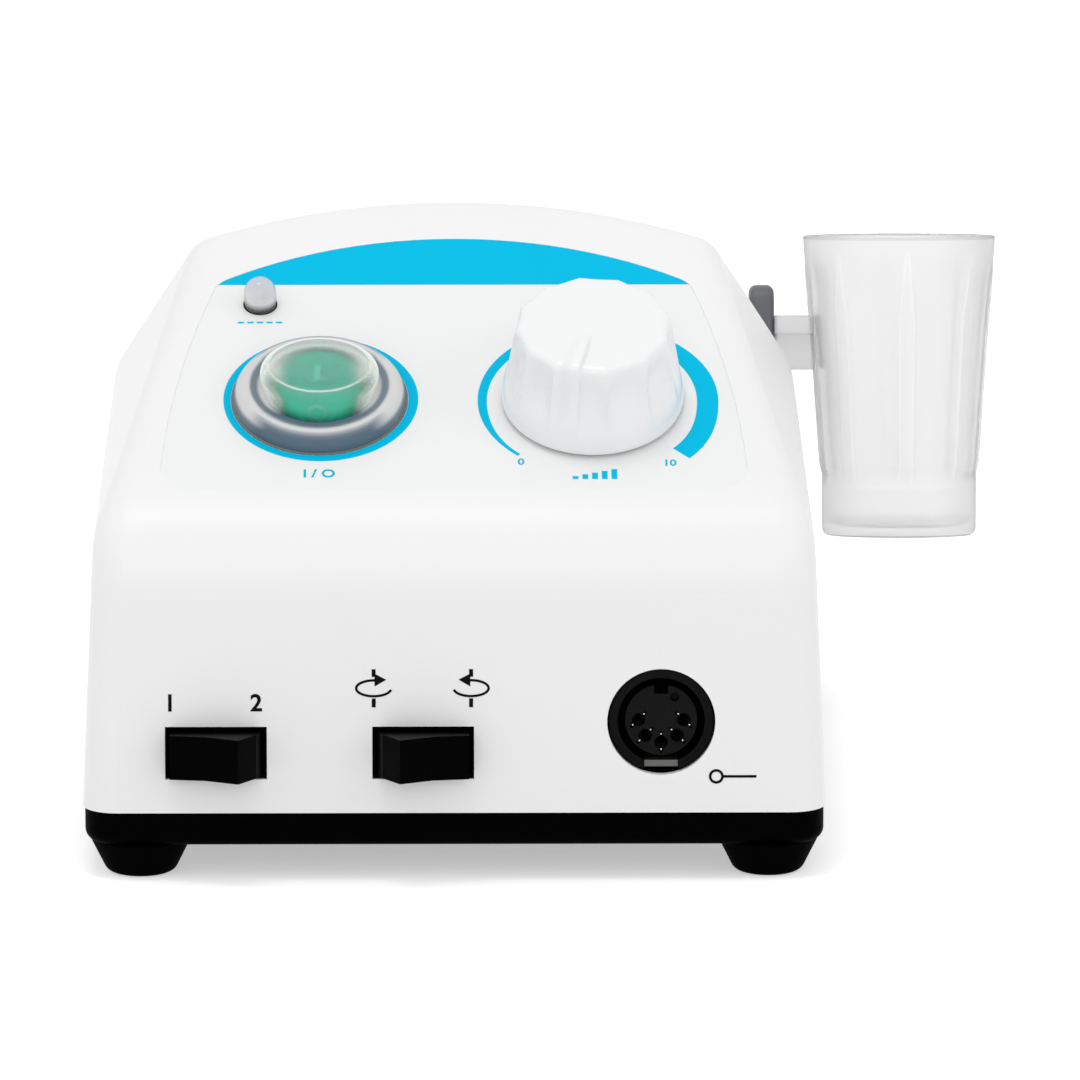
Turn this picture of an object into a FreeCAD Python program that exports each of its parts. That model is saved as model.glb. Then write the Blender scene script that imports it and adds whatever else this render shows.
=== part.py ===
import FreeCAD, Part
import math
import os
import Sketcher
from FreeCAD import Rotation, Vector

# Control box of a nail drill: a moulded white housing on a black tray, with a sloped front panel,
# a power rocker under a soft boot, a speed knob, two small rockers, a round five-pole socket
# and a clear cup beside it for the handpiece.
# Millimetres. X runs to the right, Y to the back and Z up. The origin is on the table,
# under the middle of the housing.

SIZES = (
    # whole body
    ("body_width", 114.9),
    ("body_depth", 132.0),
    ("foot_height", 5.5),
    ("tray_height", 5.5),
    ("front_draft", 1.5),
    ("side_draft", 2.4),
    ("rear_draft", 2.0),
    ("nose_height", 44.15),
    ("nose_radius", 17.55),
    ("panel_tilt", 26.8),
    ("panel_length", 82.5),
    ("crease_drop", 1.65),
    ("facet_lean", 23.3),
    ("crease_radius", 15.0),
    ("roof_slope", 22.4),
    ("crown_radius", 115.0),
    ("edge_radius", 5.5),
    ("wall", 2.5),
    # fits
    ("slip", 0.1),
    ("gap", 0.3),
    # tray, feet and the screws under the body
    ("tray_inset", 0.3),
    ("tray_floor", 2.5),
    ("tray_round", 2.0),
    ("lip_height", 3.0),
    ("lip_wall", 1.6),
    ("foot_top_radius", 7.9),
    ("foot_bottom_radius", 5.2),
    ("foot_round", 1.8),
    ("foot_x", 48.6),
    ("foot_edge", 8.0),
    ("foot_recess", 3.2),
    ("post_x", 47.5),
    ("post_edge", 24.0),
    ("post_radius", 3.8),
    ("slot_length", 24.0),
    ("slot_width", 2.0),
    ("slot_pitch", 6.0),
    ("slot_count", 5.0),
    # screws, by shank radius
    ("screw_radius", 1.5),
    ("small_screw_radius", 1.1),
    # panel overlay
    ("overlay_thickness", 0.4),
    ("overlay_recess", 0.5),
    ("overlay_gap", 0.01),
    ("overlay_start", 10.4),
    ("overlay_end", 61.4),
    ("overlay_half_bottom", 45.6),
    ("overlay_half_top", 37.2),
    ("overlay_side_radius", 195.0),
    ("overlay_top_radius", 67.5),
    ("overlay_corner", 5.0),
    # power switch
    ("power_x", -20.9),
    ("power_reach", 32.55),
    ("power_opening", 27.6),
    ("power_barrel", 20.0),
    ("power_depth", 19.0),
    ("power_flange", 24.0),
    ("power_flange_height", 1.5),
    ("rocker_radius", 7.75),
    ("rocker_top", 5.0),
    ("rocker_round", 2.0),
    ("rocker_bottom", 3.5),
    ("rocker_pin", 1.2),
    ("boot_radius", 13.5),
    ("boot_crest", 3.1),
    ("boot_inner", 9.7),
    ("cap_radius", 9.0),
    ("cap_top", 6.05),
    ("cap_start", 2.8),
    ("cap_wall", 0.9),
    ("cap_round", 1.7),
    ("rocker_pivot", 1.5),
    ("key_tilt", 6.0),
    # speed knob and its control
    ("knob_x", 21.6),
    ("knob_reach", 32.1),
    ("knob_radius", 14.2),
    ("knob_top_radius", 12.0),
    ("knob_height", 15.3),
    ("knob_skirt", 4.6),
    ("knob_lift", 0.5),
    ("knob_wall", 1.8),
    ("knob_round", 1.9),
    ("flute_count", 12.0),
    ("flute_radius", 14.0),
    ("flute_depth", 0.7),
    ("pointer_angle", 14.0),
    ("pointer_width", 1.1),
    ("pointer_height", 0.9),
    ("pointer_reach", 3.6),
    ("spindle_radius", 3.0),
    ("spindle_length", 13.0),
    ("bush_radius", 3.6),
    ("bush_length", 4.6),
    ("control_radius", 8.0),
    ("control_depth", 8.5),
    # warning lamp
    ("lamp_x", -30.4),
    ("lamp_reach", 56.15),
    ("lamp_radius", 2.5),
    ("lamp_centre", 2.35),
    ("lamp_hole", 5.4),
    # front rockers
    ("left_switch_x", -36.75),
    ("right_switch_x", -4.8),
    ("switch_level", 9.5),
    ("switch_width", 15.7),
    ("switch_height", 8.3),
    ("switch_depth", 16.0),
    ("switch_wall", 0.5),
    ("switch_sink", 0.6),
    ("switch_cavity", 6.0),
    ("paddle_pivot", 0.5),
    ("paddle_half_base", 6.9),
    ("paddle_half_ridge", 5.6),
    ("paddle_ridge", 5.8),
    ("paddle_dip", 4.9),
    ("paddle_tilt", 18.0),
    ("paddle_pin", 0.9),
    # motor socket
    ("socket_x", 31.9),
    ("socket_level", 14.3),
    ("socket_hole", 16.7),
    ("socket_outer", 16.4),
    ("socket_ring_bore", 13.4),
    ("socket_insert", 11.1),
    ("socket_sink", 1.2),
    ("socket_depth", 13.0),
    ("contact_circle", 7.0),
    ("contact_radius", 0.75),
    # back wall
    ("back_level", 18.0),
    ("inlet_x", 17.0),
    ("inlet_width", 50.0),
    ("inlet_height", 22.5),
    ("inlet_flange", 3.0),
    ("inlet_body_width", 27.0),
    ("inlet_body_height", 19.6),
    ("inlet_body_depth", 20.0),
    ("inlet_mouth_width", 24.2),
    ("inlet_mouth_height", 16.2),
    ("inlet_mouth_depth", 16.5),
    ("inlet_screw_spacing", 40.0),
    ("fuse_x", -18.0),
    ("fuse_barrel", 12.2),
    ("fuse_flange", 15.0),
    ("fuse_depth", 26.0),
    ("fuse_cap_radius", 5.6),
    ("fuse_cap_length", 5.0),
    ("jack_x", -36.0),
    ("jack_bore", 6.5),
    ("jack_bush", 9.4),
    ("jack_nut", 13.0),
    ("jack_body", 14.0),
    ("jack_depth", 16.0),
    # transformer
    ("core_x", -20.0),
    ("core_y", 14.0),
    ("core_width", 48.0),
    ("core_height", 40.0),
    ("core_stack", 24.0),
    ("core_leg", 8.0),
    ("coil_bulge", 7.0),
    ("strap_thickness", 1.2),
    ("strap_foot", 8.0),
    # boards
    ("board_thickness", 1.6),
    ("board_x", 32.0),
    ("board_width", 40.0),
    ("board_clearance", 1.0),
    ("board_lift", 5.0),
    ("board_screw_inset", 4.0),
    ("panel_board_depth", 14.0),
    ("panel_board_width", 84.0),
    ("panel_board_start", 14.5),
    ("panel_board_end", 62.0),
    ("capacitor_radius", 9.0),
    ("capacitor_height", 30.0),
    ("fin_count", 6.0),
    ("fin_pitch", 4.4),
    ("sink_length", 36.0),
    ("sink_height", 25.0),
    # cup and its holder
    ("holder_tilt", -10.3),
    ("bracket_x", 43.0),
    ("bracket_level", 36.0),
    ("bracket_width", 13.0),
    ("bracket_height", 11.0),
    ("bracket_thickness", 3.0),
    ("holder_reach", 6.5),
    ("holder_level", 50.0),
    ("clip_x", 50.75),
    ("clip_width", 4.1),
    ("clip_length", 8.0),
    ("clip_top", 14.75),
    ("clip_drop", 9.0),
    ("tongue_depth", 2.6),
    ("tongue_width", 2.4),
    ("arm_top", 9.65),
    ("arm_height", 8.9),
    ("arm_width", 5.0),
    ("arm_flange", 2.9),
    ("cup_x", 73.5),
    ("cup_radius", 15.85),
    ("cup_bottom_radius", 12.75),
    ("cup_height", 49.4),
    ("cup_wall", 1.3),
    ("cup_band", 10.5),
    ("cup_rim_band", 6.0),
    ("cup_flutes", 8.0),
    ("cup_flute_depth", 0.75),
    ("cup_flute_radius", 40.0),
    ("cup_flute_ease", 5.0),
    ("cup_ridge_turn", 3.0),
    ("cup_top", 22.9),
)

doc = FreeCAD.newDocument("nail_drill_machine")
sheet = doc.addObject("Spreadsheet::Sheet", "Sizes")
for row, (alias, number) in enumerate(SIZES, start=1):
    sheet.set("A%d" % row, alias)
    sheet.set("B%d" % row, str(number))
    sheet.setAlias("B%d" % row, alias)
doc.recompute()


class Size(float):
    """A number together with the spreadsheet expression that gives it."""

    def __new__(cls, number, text):
        made = float.__new__(cls, number)
        made.text = text
        return made

    def __add__(self, other):
        return Size(float(self) + float(other), "(%s + %s)" % (self.text, text_of(other)))

    def __radd__(self, other):
        return Size(float(other) + float(self), "(%s + %s)" % (text_of(other), self.text))

    def __sub__(self, other):
        return Size(float(self) - float(other), "(%s - %s)" % (self.text, text_of(other)))

    def __rsub__(self, other):
        return Size(float(other) - float(self), "(%s - %s)" % (text_of(other), self.text))

    def __mul__(self, other):
        return Size(float(self) * float(other), "%s * %s" % (self.text, text_of(other)))

    def __rmul__(self, other):
        return Size(float(other) * float(self), "%s * %s" % (text_of(other), self.text))

    def __truediv__(self, other):
        return Size(float(self) / float(other), "%s / (%s)" % (self.text, text_of(other)))

    def __neg__(self):
        return Size(-float(self), "(0 - %s)" % self.text)


def text_of(value):
    return value.text if isinstance(value, Size) else "(%.6f)" % value


def size(alias):
    return Size(float(sheet.get(alias)), "Sizes." + alias)


def sine(angle):
    return Size(math.sin(math.radians(angle)), "sin(%s)" % text_of(angle))


def cosine(angle):
    return Size(math.cos(math.radians(angle)), "cos(%s)" % text_of(angle))


def tangent(angle):
    return Size(math.tan(math.radians(angle)), "tan(%s)" % text_of(angle))


def bind(thing, prop, value):
    """Give a property its value, through the spreadsheet where the value comes from there."""
    if isinstance(value, Size):
        thing.setExpression(prop, value.text)
    else:
        setattr(thing, prop, value)


# Places on the body
seam = size("foot_height") + size("tray_height")
half_width = size("body_width") / 2
half_depth = size("body_depth") / 2
nose_y = -half_depth + size("nose_height") * tangent(size("front_draft"))
nose_z = seam + size("nose_height")
tilt = size("panel_tilt")
foot_y = half_depth - size("foot_edge")
post_y = half_depth - size("post_edge")
tray_top = size("foot_height") + size("tray_floor")
board_length = (post_y - size("post_radius") - size("board_clearance")) * 2


# A frame turns a place on a face of the body into a place in space. Its out axis leaves the face.
def base_frame(x, along, out):
    return (x, along, out), 0.0


def panel_frame(x, along, out):
    """Sloped panel: along runs up the slope from the sharp corner at the nose."""
    y = nose_y + along * cosine(tilt) - out * sine(tilt)
    z = nose_z + along * sine(tilt) + out * cosine(tilt)
    return (x, y, z), tilt


def key_frame(x, along, out):
    """Power key as it stands at rest: the panel's frame tipped about the key's pin, its lower end up."""
    pivot = size("rocker_pivot")
    (pin_x, pin_y, pin_z), level = panel_frame(x, size("power_reach"), -pivot)
    angle = level - size("key_tilt")
    off = along - size("power_reach")
    up = out + pivot
    y = pin_y + off * cosine(angle) - up * sine(angle)
    z = pin_z + off * sine(angle) + up * cosine(angle)
    return (pin_x, y, z), angle


def front_frame(x, along, out):
    """Front face: along runs up the face from the seam."""
    draft = size("front_draft")
    y = -half_depth + along * sine(draft) - out * cosine(draft)
    z = seam + along * cosine(draft) + out * sine(draft)
    return (x, y, z), 90.0 - draft


def back_frame(x, along, out):
    """Back wall: along runs down the wall, so that the frame stays right-handed."""
    draft = size("rear_draft")
    y = half_depth + along * sine(draft) + out * cosine(draft)
    z = seam - along * cosine(draft) + out * sine(draft)
    return (x, y, z), draft - 90.0


def holder_frame(x, along, out):
    """Cup and clip lean back together. Out runs up the cup's axis from the level of the bracket."""
    lean = size("holder_tilt")
    y = half_depth + size("holder_reach") + along * cosine(lean) - out * sine(lean)
    z = size("holder_level") + along * sine(lean) + out * cosine(lean)
    return (x, y, z), lean


def place(thing, frame, x, along, out):
    """Put a piece's own origin at a place of the frame, turned with the frame's face."""
    at, angle = frame(x, along, out)
    thing.Placement.Rotation = Rotation(Vector(1, 0, 0), 1.0)
    for axis, value in zip("xyz", at):
        thing.setExpression("Placement.Base." + axis, text_of(value))
    thing.setExpression("Placement.Rotation.Angle", text_of(angle))
    return thing


# Solids
def box(name, frame, centre, extent):
    """Block standing on its bottom face's centre."""
    x, along, out = centre
    width, length, height = extent
    made = doc.addObject("Part::Box", name)
    bind(made, "Length", width)
    bind(made, "Width", length)
    bind(made, "Height", height)
    return place(made, frame, x - width / 2, along - length / 2, out)


def cylinder(name, frame, centre, radius, height):
    made = doc.addObject("Part::Cylinder", name)
    bind(made, "Radius", radius)
    bind(made, "Height", height)
    return place(made, frame, *centre)


def prism(name, frame, centre, radius, height, sides):
    """Regular prism, such as a hexagon nut, by its corner radius."""
    made = doc.addObject("Part::Prism", name)
    made.Polygon = sides
    bind(made, "Circumradius", radius)
    bind(made, "Height", height)
    return place(made, frame, *centre)


def sphere(name, frame, centre, radius):
    made = doc.addObject("Part::Sphere", name)
    bind(made, "Radius", radius)
    return place(made, frame, *centre)


def cut(name, base, *tools):
    made = doc.addObject("Part::Cut", name)
    made.Base = base
    made.Tool = tools[0] if len(tools) == 1 else fuse(name + "_cuts", *tools)
    return made


def fuse(name, *pieces):
    made = doc.addObject("Part::MultiFuse", name)
    made.Shapes = list(pieces)
    return made


def common(name, *pieces):
    made = doc.addObject("Part::MultiCommon", name)
    made.Shapes = list(pieces)
    return made


def group(name, *pieces):
    """Separate solids of one kind kept in one node."""
    made = doc.addObject("Part::Compound", name)
    made.Links = list(pieces)
    return made


# Bodies with sketches
def new_body(name):
    return doc.addObject("PartDesign::Body", name)


def sketch_on(body, role, name, spin_axis=None, spin=0.0, lift=0.0):
    """Sketch on an origin plane of its body, turned about one of its own axes or lifted off it."""
    plane = [item for item in body.Origin.OriginFeatures if item.Role == role][0]
    made = body.newObject("Sketcher::SketchObject", name)
    made.AttachmentSupport = [(plane, "")]
    made.MapMode = "FlatFace"
    if spin_axis:
        made.AttachmentOffset = FreeCAD.Placement(Vector(), Rotation(spin_axis, 1.0))
        made.setExpression("AttachmentOffset.Rotation.Angle", text_of(spin))
    if lift:
        made.setExpression("AttachmentOffset.Base.z", text_of(lift))
    return made


def pin_value(sketch, constraint, name, value):
    index = sketch.addConstraint(constraint)
    sketch.renameConstraint(index, name)
    sketch.setExpression("Constraints." + name, text_of(value))


def pin_point(sketch, geometry, point, x, y, name):
    pin_value(sketch, Sketcher.Constraint("DistanceX", -1, 1, geometry, point, float(x)), name + "x", x)
    pin_value(sketch, Sketcher.Constraint("DistanceY", -1, 1, geometry, point, float(y)), name + "y", y)


def arc_through(start, end, radius):
    """Arc from start to end. A positive radius bulges to the right of the way from start to end."""
    chord = end - start
    middle = (start + end) / 2
    rise = math.sqrt(max(radius * radius - chord.Length ** 2 / 4, 0.0))
    across = Vector(-chord.y, chord.x, 0) / chord.Length
    centre = middle + across * math.copysign(rise, radius)
    first, last = (start, end) if radius > 0 else (end, start)
    begin = math.atan2(first.y - centre.y, first.x - centre.x)
    finish = math.atan2(last.y - centre.y, last.x - centre.x)
    return Part.ArcOfCircle(Part.Circle(centre, Vector(0, 0, 1), abs(radius)), begin, finish)


def draw(sketch, *corners):
    """Closed outline. A corner is (x, y), or (x, y, radius) where an arc leads on from it."""
    first = sketch.GeometryCount
    count = len(corners)
    ends = []
    for index, corner in enumerate(corners):
        following = corners[(index + 1) % count]
        start = Vector(float(corner[0]), float(corner[1]), 0)
        end = Vector(float(following[0]), float(following[1]), 0)
        if len(corner) == 2:
            geometry = sketch.addGeometry(Part.LineSegment(start, end), False)
            ends.append((geometry, 1, 2))
        else:
            geometry = sketch.addGeometry(arc_through(start, end, float(corner[2])), False)
            ends.append((geometry, 1, 2) if corner[2] > 0 else (geometry, 2, 1))
    for index, corner in enumerate(corners):
        geometry, start, end = ends[index]
        following, next_start, next_end = ends[(index + 1) % count]
        sketch.addConstraint(Sketcher.Constraint("Coincident", geometry, end, following, next_start))
        pin_point(sketch, geometry, start, corner[0], corner[1], "corner%d" % (first + index))
        if len(corner) == 3:
            radius = corner[2] if corner[2] > 0 else -corner[2]
            pin_value(sketch, Sketcher.Constraint("Radius", geometry, float(radius)),
                      "arc%d" % (first + index), radius)
    return sketch


def draw_circle(sketch, x, y, radius):
    middle = Vector(float(x), float(y), 0)
    circle = Part.Circle(middle, Vector(0, 0, 1), float(radius))
    geometry = sketch.addGeometry(circle, False)
    pin_point(sketch, geometry, 3, x, y, "centre%d" % geometry)
    pin_value(sketch, Sketcher.Constraint("Radius", geometry, float(radius)), "ring%d" % geometry, radius)
    return sketch


def pad(body, sketch, length, midplane=False):
    made = body.newObject("PartDesign::Pad", sketch.Name + "_pad")
    made.Profile = sketch
    bind(made, "Length", length)
    made.Midplane = midplane
    sketch.Visibility = False
    return made


def pocket(body, sketch, depth, midplane=False, reverse=False):
    made = body.newObject("PartDesign::Pocket", sketch.Name + "_pocket")
    made.Profile = sketch
    bind(made, "Length", depth)
    made.Midplane = midplane
    made.Reversed = reverse
    return made


def turn(body, sketch):
    """Revolve a profile about the upright axis of its sketch."""
    made = body.newObject("PartDesign::Revolution", sketch.Name + "_turn")
    made.Profile = sketch
    made.ReferenceAxis = (sketch, ["V_Axis"])
    made.Angle = 360.0
    return made


def middle_of(edge):
    return edge.valueAt((edge.FirstParameter + edge.LastParameter) / 2)


def edges_where(feature, test):
    doc.recompute()
    names = ["Edge%d" % (index + 1) for index, edge in enumerate(feature.Shape.Edges) if test(edge)]
    if not names:
        raise ValueError("no edge of %s passes the test" % feature.Name)
    return names


def round_edges(body, feature, radius, test, kind="Fillet"):
    made = body.newObject("PartDesign::" + kind, feature.Name + "_" + kind.lower())
    made.Base = (feature, edges_where(feature, test))
    bind(made, "Radius" if kind == "Fillet" else "Size", radius)
    return made


def repeat_round(body, features, count, axis_sketch):
    """Polar pattern about the upright axis of a sketch."""
    made = body.newObject("PartDesign::PolarPattern", features[0].Name + "_pattern")
    made.Originals = features
    made.Axis = (axis_sketch, ["V_Axis"])
    made.Angle = 360.0
    bind(made, "Occurrences", count)
    body.Tip = made
    return made


def near(value, target, tolerance=0.01):
    return abs(value - target) < tolerance


nodes = []


def node(name, thing):
    """Name a finished piece. Its label names its file."""
    thing.Label = name
    nodes.append(thing)
    return thing


# Housing
def side_prism(name, inset, below):
    """Front face, nose and sloped panel, drawn from the side and run across the body."""
    draft = tangent(size("front_draft"))
    lean = tangent(size("rear_draft"))
    slope = tangent(tilt)
    drop = inset * (1.0 - sine(tilt)) / (cosine(tilt) * (1.0 - draft * slope))
    corner_y = nose_y + inset - drop * draft
    corner_z = nose_z - drop
    reach = size("panel_length") * 1.3
    top_y = corner_y + reach * cosine(tilt)
    top_z = corner_z + reach * sine(tilt)
    back_y = half_depth - inset
    body = new_body(name)
    sketch = sketch_on(body, "YZ_Plane", name + "_profile")
    draw(sketch,
         (-half_depth + inset - draft * below, seam - below),
         (back_y + lean * below, seam - below),
         (back_y - lean * (top_z - seam), top_z),
         (top_y, top_z),
         (corner_y, corner_z))
    block = pad(body, sketch, size("body_width") * 1.2, midplane=True)
    round_edges(body, block, size("nose_radius") - inset,
                lambda edge: near(middle_of(edge).y, corner_y) and near(middle_of(edge).z, corner_z))
    return body


def front_prism(name, inset, below):
    """Side walls and leaning facets, drawn from the front and run along the body."""
    draft = tangent(size("side_draft"))
    facet = size("facet_lean")
    sink = inset * (1.0 - cosine(facet)) / (cosine(facet) * (tangent(facet) - draft))
    crease_z = nose_z - size("crease_drop") - sink
    crease_x = half_width - inset - (crease_z - seam) * draft
    rise = size("body_width") / 2
    foot_x = half_width - inset + draft * below
    top_x = crease_x - rise * tangent(facet)
    body = new_body(name)
    sketch = sketch_on(body, "XZ_Plane", name + "_profile")
    draw(sketch,
         (-foot_x, seam - below),
         (foot_x, seam - below),
         (crease_x, crease_z),
         (top_x, crease_z + rise),
         (-top_x, crease_z + rise),
         (-crease_x, crease_z))
    block = pad(body, sketch, size("body_depth") * 1.2, midplane=True)
    round_edges(body, block, size("crease_radius") - inset,
                lambda edge: near(abs(middle_of(edge).x), crease_x) and near(middle_of(edge).z, crease_z))
    return body


def crown_frame(x, along, out):
    """Runs down the roof's slope to the back, through the top of the panel."""
    slope = size("roof_slope")
    y = nose_y + size("panel_length") * cosine(tilt) + along * sine(slope) + out * cosine(slope)
    z = nose_z + size("panel_length") * sine(tilt) + along * cosine(slope) - out * sine(slope)
    return (x, y, z), -90.0 - slope


def housing_form(name, inset, below):
    """The closed form of the housing, or of the space inside it where there is an inset."""
    reach = size("body_depth") * 1.2
    crown = cylinder(name + "_crown", crown_frame, (0.0, -size("crown_radius"), -reach),
                     size("crown_radius") - inset, reach * 2)
    raw = common(name + "_raw", side_prism(name + "_side", inset, below),
                 front_prism(name + "_front", inset, below), crown)
    doc.recompute()
    body = new_body(name)
    body.BaseFeature = raw
    doc.recompute()
    base = body.Group[0]
    solid = base.Shape
    floor = seam - below

    def sharp(edge):
        if near(middle_of(edge).z, floor):
            return False
        faces = [face for face in solid.Faces if any(edge.isSame(other) for other in face.Edges)]
        normals = [face.normalAt(*face.Surface.parameter(middle_of(edge))) for face in faces]
        return len(normals) == 2 and normals[0].dot(normals[1]) < 0.999

    round_edges(body, base, size("edge_radius") - inset, sharp)
    return body


def overlay_form(name, grow, out, height):
    """Outline of the panel sheet: bowed sides, arched top, rounded corners."""
    body = new_body(name)
    sketch = sketch_on(body, "XY_Plane", name + "_outline")
    start = size("overlay_start") - grow
    end = size("overlay_end") + grow
    bottom = size("overlay_half_bottom") + grow
    top = size("overlay_half_top") + grow
    draw(sketch,
         (-bottom, start),
         (bottom, start, size("overlay_side_radius")),
         (top, end, size("overlay_top_radius")),
         (-top, end, size("overlay_side_radius")))
    sheet_pad = pad(body, sketch, height)
    round_edges(body, sheet_pad, size("overlay_corner") + grow,
                lambda edge: edge.BoundBox.ZLength > 0.9 * height)
    return place(body, panel_frame, 0.0, 0.0, out)


def corners(x, y):
    """The four places, mirrored about the middle of the body."""
    return ((-x, -y), (x, -y), (-x, y), (x, y))


def upper_housing():
    outside = housing_form("housing_outside", 0.0, 0.0)
    inside = housing_form("housing_inside", size("wall"), size("wall"))
    shell = cut("housing_shell", outside, inside)
    columns = [cylinder("post_column", base_frame, (x, y, seam), size("post_radius"), size("body_width"))
               for x, y in corners(size("post_x"), post_y)]
    posts = common("housing_posts", fuse("post_columns", *columns), outside)
    walls = fuse("housing_walls", shell, posts)
    screw = size("screw_radius")
    bores = [cylinder("post_bore", base_frame, (x, y, seam - 1.0), screw + 0.05, size("body_depth") / 10)
             for x, y in corners(size("post_x"), post_y)]
    recess = size("overlay_recess")
    through = size("wall") * 3
    panel = [
        overlay_form("overlay_seat", size("overlay_gap"), -recess, size("wall") * 2),
        cylinder("power_hole", panel_frame, (size("power_x"), size("power_reach"), -through),
                 size("power_barrel") / 2 + size("slip"), through * 2),
        cylinder("control_hole", panel_frame, (size("knob_x"), size("knob_reach"), -through),
                 size("bush_radius") + size("slip"), through * 2),
        cylinder("lamp_opening", panel_frame, (size("lamp_x"), size("lamp_reach"), -through),
                 size("lamp_hole") / 2, through * 2),
    ]
    front = [box("switch_opening", front_frame, (x, size("switch_level"), -through),
                 (size("switch_width"), size("switch_height"), through * 2))
             for x in (size("left_switch_x"), size("right_switch_x"))]
    front.append(cylinder("socket_opening", front_frame, (size("socket_x"), size("socket_level"), -through),
                          size("socket_hole") / 2, through * 2))
    level = -size("back_level")
    back = [
        box("inlet_opening", back_frame, (size("inlet_x"), level, -through),
            (size("inlet_body_width") + size("slip") * 2, size("inlet_body_height") + size("slip") * 2,
             through * 2)),
        cylinder("fuse_opening", back_frame, (size("fuse_x"), level, -through),
                 size("fuse_barrel") / 2 + size("slip"), through * 2),
        cylinder("jack_opening", back_frame, (size("jack_x"), level, -through),
                 size("jack_bush") / 2 + size("slip"), through * 2),
    ]
    back += [cylinder("inlet_screw_hole", back_frame, (x, level, -through),
                      size("screw_radius") + 0.05, through * 2) for x in inlet_screw_places()]
    back += [cylinder("bracket_screw_hole", back_frame, (x, -size("bracket_level"), -through),
                      size("small_screw_radius") + 0.05, through * 2) for x in bracket_screw_places()]
    return node("upper_housing", cut("upper_housing_solid", walls, *(bores + panel + front + back)))


def inlet_screw_places():
    return [size("inlet_x") + side * size("inlet_screw_spacing") / 2 for side in (-1, 1)]


def bracket_screw_places():
    return [size("bracket_x") + size("bracket_width") * share for share in (-0.36, 0.04)]


# Tray, feet and screws
def tray_outline(body, name, inset, lift=0.0):
    sketch = sketch_on(body, "XY_Plane", name, lift=lift)
    x = half_width - inset
    y = half_depth - inset
    return draw(sketch, (-x, -y), (x, -y), (x, y), (-x, y))


def base_tray():
    body = new_body("tray_body")
    inset = size("tray_inset")
    floor = size("tray_floor")
    block = pad(body, tray_outline(body, "tray_outline", inset), size("tray_height"))
    upright = round_edges(body, block, size("edge_radius") - inset, lambda edge: edge.BoundBox.ZLength > 1.0)
    round_edges(body, upright, size("tray_round"), lambda edge: near(edge.BoundBox.ZMax, 0.0))
    hollow_inset = inset + size("wall") + size("lip_wall")
    hollow = pocket(body, tray_outline(body, "tray_hollow", hollow_inset, lift=size("tray_height")),
                    size("tray_height") - floor)
    body.Tip = hollow
    place(body, base_frame, 0.0, 0.0, size("foot_height"))
    lip = new_body("lip_body")
    lip_inset = size("wall") + size("gap")
    ring = pad(lip, tray_outline(lip, "lip_outline", lip_inset), size("lip_height"))
    round_edges(lip, ring, size("edge_radius") - lip_inset, lambda edge: edge.BoundBox.ZLength > 1.0)
    lip_cut = pocket(lip, tray_outline(lip, "lip_inside", lip_inset + size("lip_wall"), lift=size("lip_height")),
                     size("lip_height"))
    lip.Tip = lip_cut
    place(lip, base_frame, 0.0, 0.0, seam)
    bosses = [cylinder("tray_boss", base_frame, (x, y, size("foot_height")), size("post_radius"),
                       size("tray_height")) for x, y in corners(size("post_x"), post_y)]
    bosses += [cylinder("foot_boss", base_frame, (x, y, size("foot_height")), size("post_radius"),
                        size("tray_height")) for x, y in corners(size("foot_x"), foot_y)]
    bosses += [cylinder("board_pillar", base_frame, (x, y, size("foot_height")), size("small_screw_radius") * 2.2,
                        size("tray_floor") + size("board_lift")) for x, y in board_corners()]
    solid = fuse("tray_solid", body, lip, *bosses)
    holes = [cylinder("tray_screw_hole", base_frame, (x, y, 0.0), size("screw_radius") + 0.05, seam * 2)
             for x, y in corners(size("post_x"), post_y)]
    holes += [cylinder("tray_screw_seat", base_frame, (x, y, 0.0), size("screw_radius") * 2.1,
                       size("foot_height") + size("tray_floor")) for x, y in corners(size("post_x"), post_y)]
    holes += [cylinder("foot_screw_hole", base_frame, (x, y, 0.0), size("screw_radius") + 0.05, seam * 2)
              for x, y in corners(size("foot_x"), foot_y)]
    holes += [cylinder("board_screw_hole", base_frame, (x, y, size("foot_height") + 1.0),
                       size("small_screw_radius") + 0.05, seam * 2) for x, y in board_corners()]
    holes += [cylinder("strap_screw_hole", base_frame, (x, y, size("foot_height") + 1.0),
                       size("screw_radius") + 0.05, seam) for x, y in strap_screw_places()]
    middle = (size("slot_count") - 1.0) / 2
    for end in (-1, 1):
        holes += [box("tray_slot", base_frame,
                      (0.0, end * half_depth * 0.7 + (index - middle) * size("slot_pitch"), 0.0),
                      (size("slot_length"), size("slot_width"), seam)) for index in range(int(size("slot_count")))]
    return node("base_tray", cut("base_tray_solid", solid, *holes))


def rubber_foot(name, x, y):
    body = new_body(name + "_body")
    sketch = sketch_on(body, "XZ_Plane", name + "_profile")
    tall = size("foot_height")
    hole = size("screw_radius") + size("slip")
    draw(sketch,
         (hole, size("foot_recess")),
         (size("screw_radius") * 2.2, size("foot_recess")),
         (size("screw_radius") * 2.2, 0.0),
         (size("foot_bottom_radius"), 0.0),
         (size("foot_top_radius"), tall),
         (hole, tall))
    solid = turn(body, sketch)
    round_edges(body, solid, size("foot_round"),
                lambda edge: near(edge.BoundBox.ZMax, 0.0)
                and edge.BoundBox.XLength > size("foot_bottom_radius") * 1.9)
    return node(name, place(body, base_frame, x, y, 0.0))


def screw(name, frame, x, along, out, radius, length, head=1.0):
    """Pan-head screw, its head's underside at out and its shank running in, or up where head is -1."""
    head_height = radius * 1.3
    shank_out = out - length if head > 0 else out
    head_out = out if head > 0 else out - head_height
    shank = cylinder(name + "_shank", frame, (x, along, shank_out), radius, length)
    return fuse(name, shank, cylinder(name + "_head", frame, (x, along, head_out), radius * 1.9, head_height))


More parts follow.
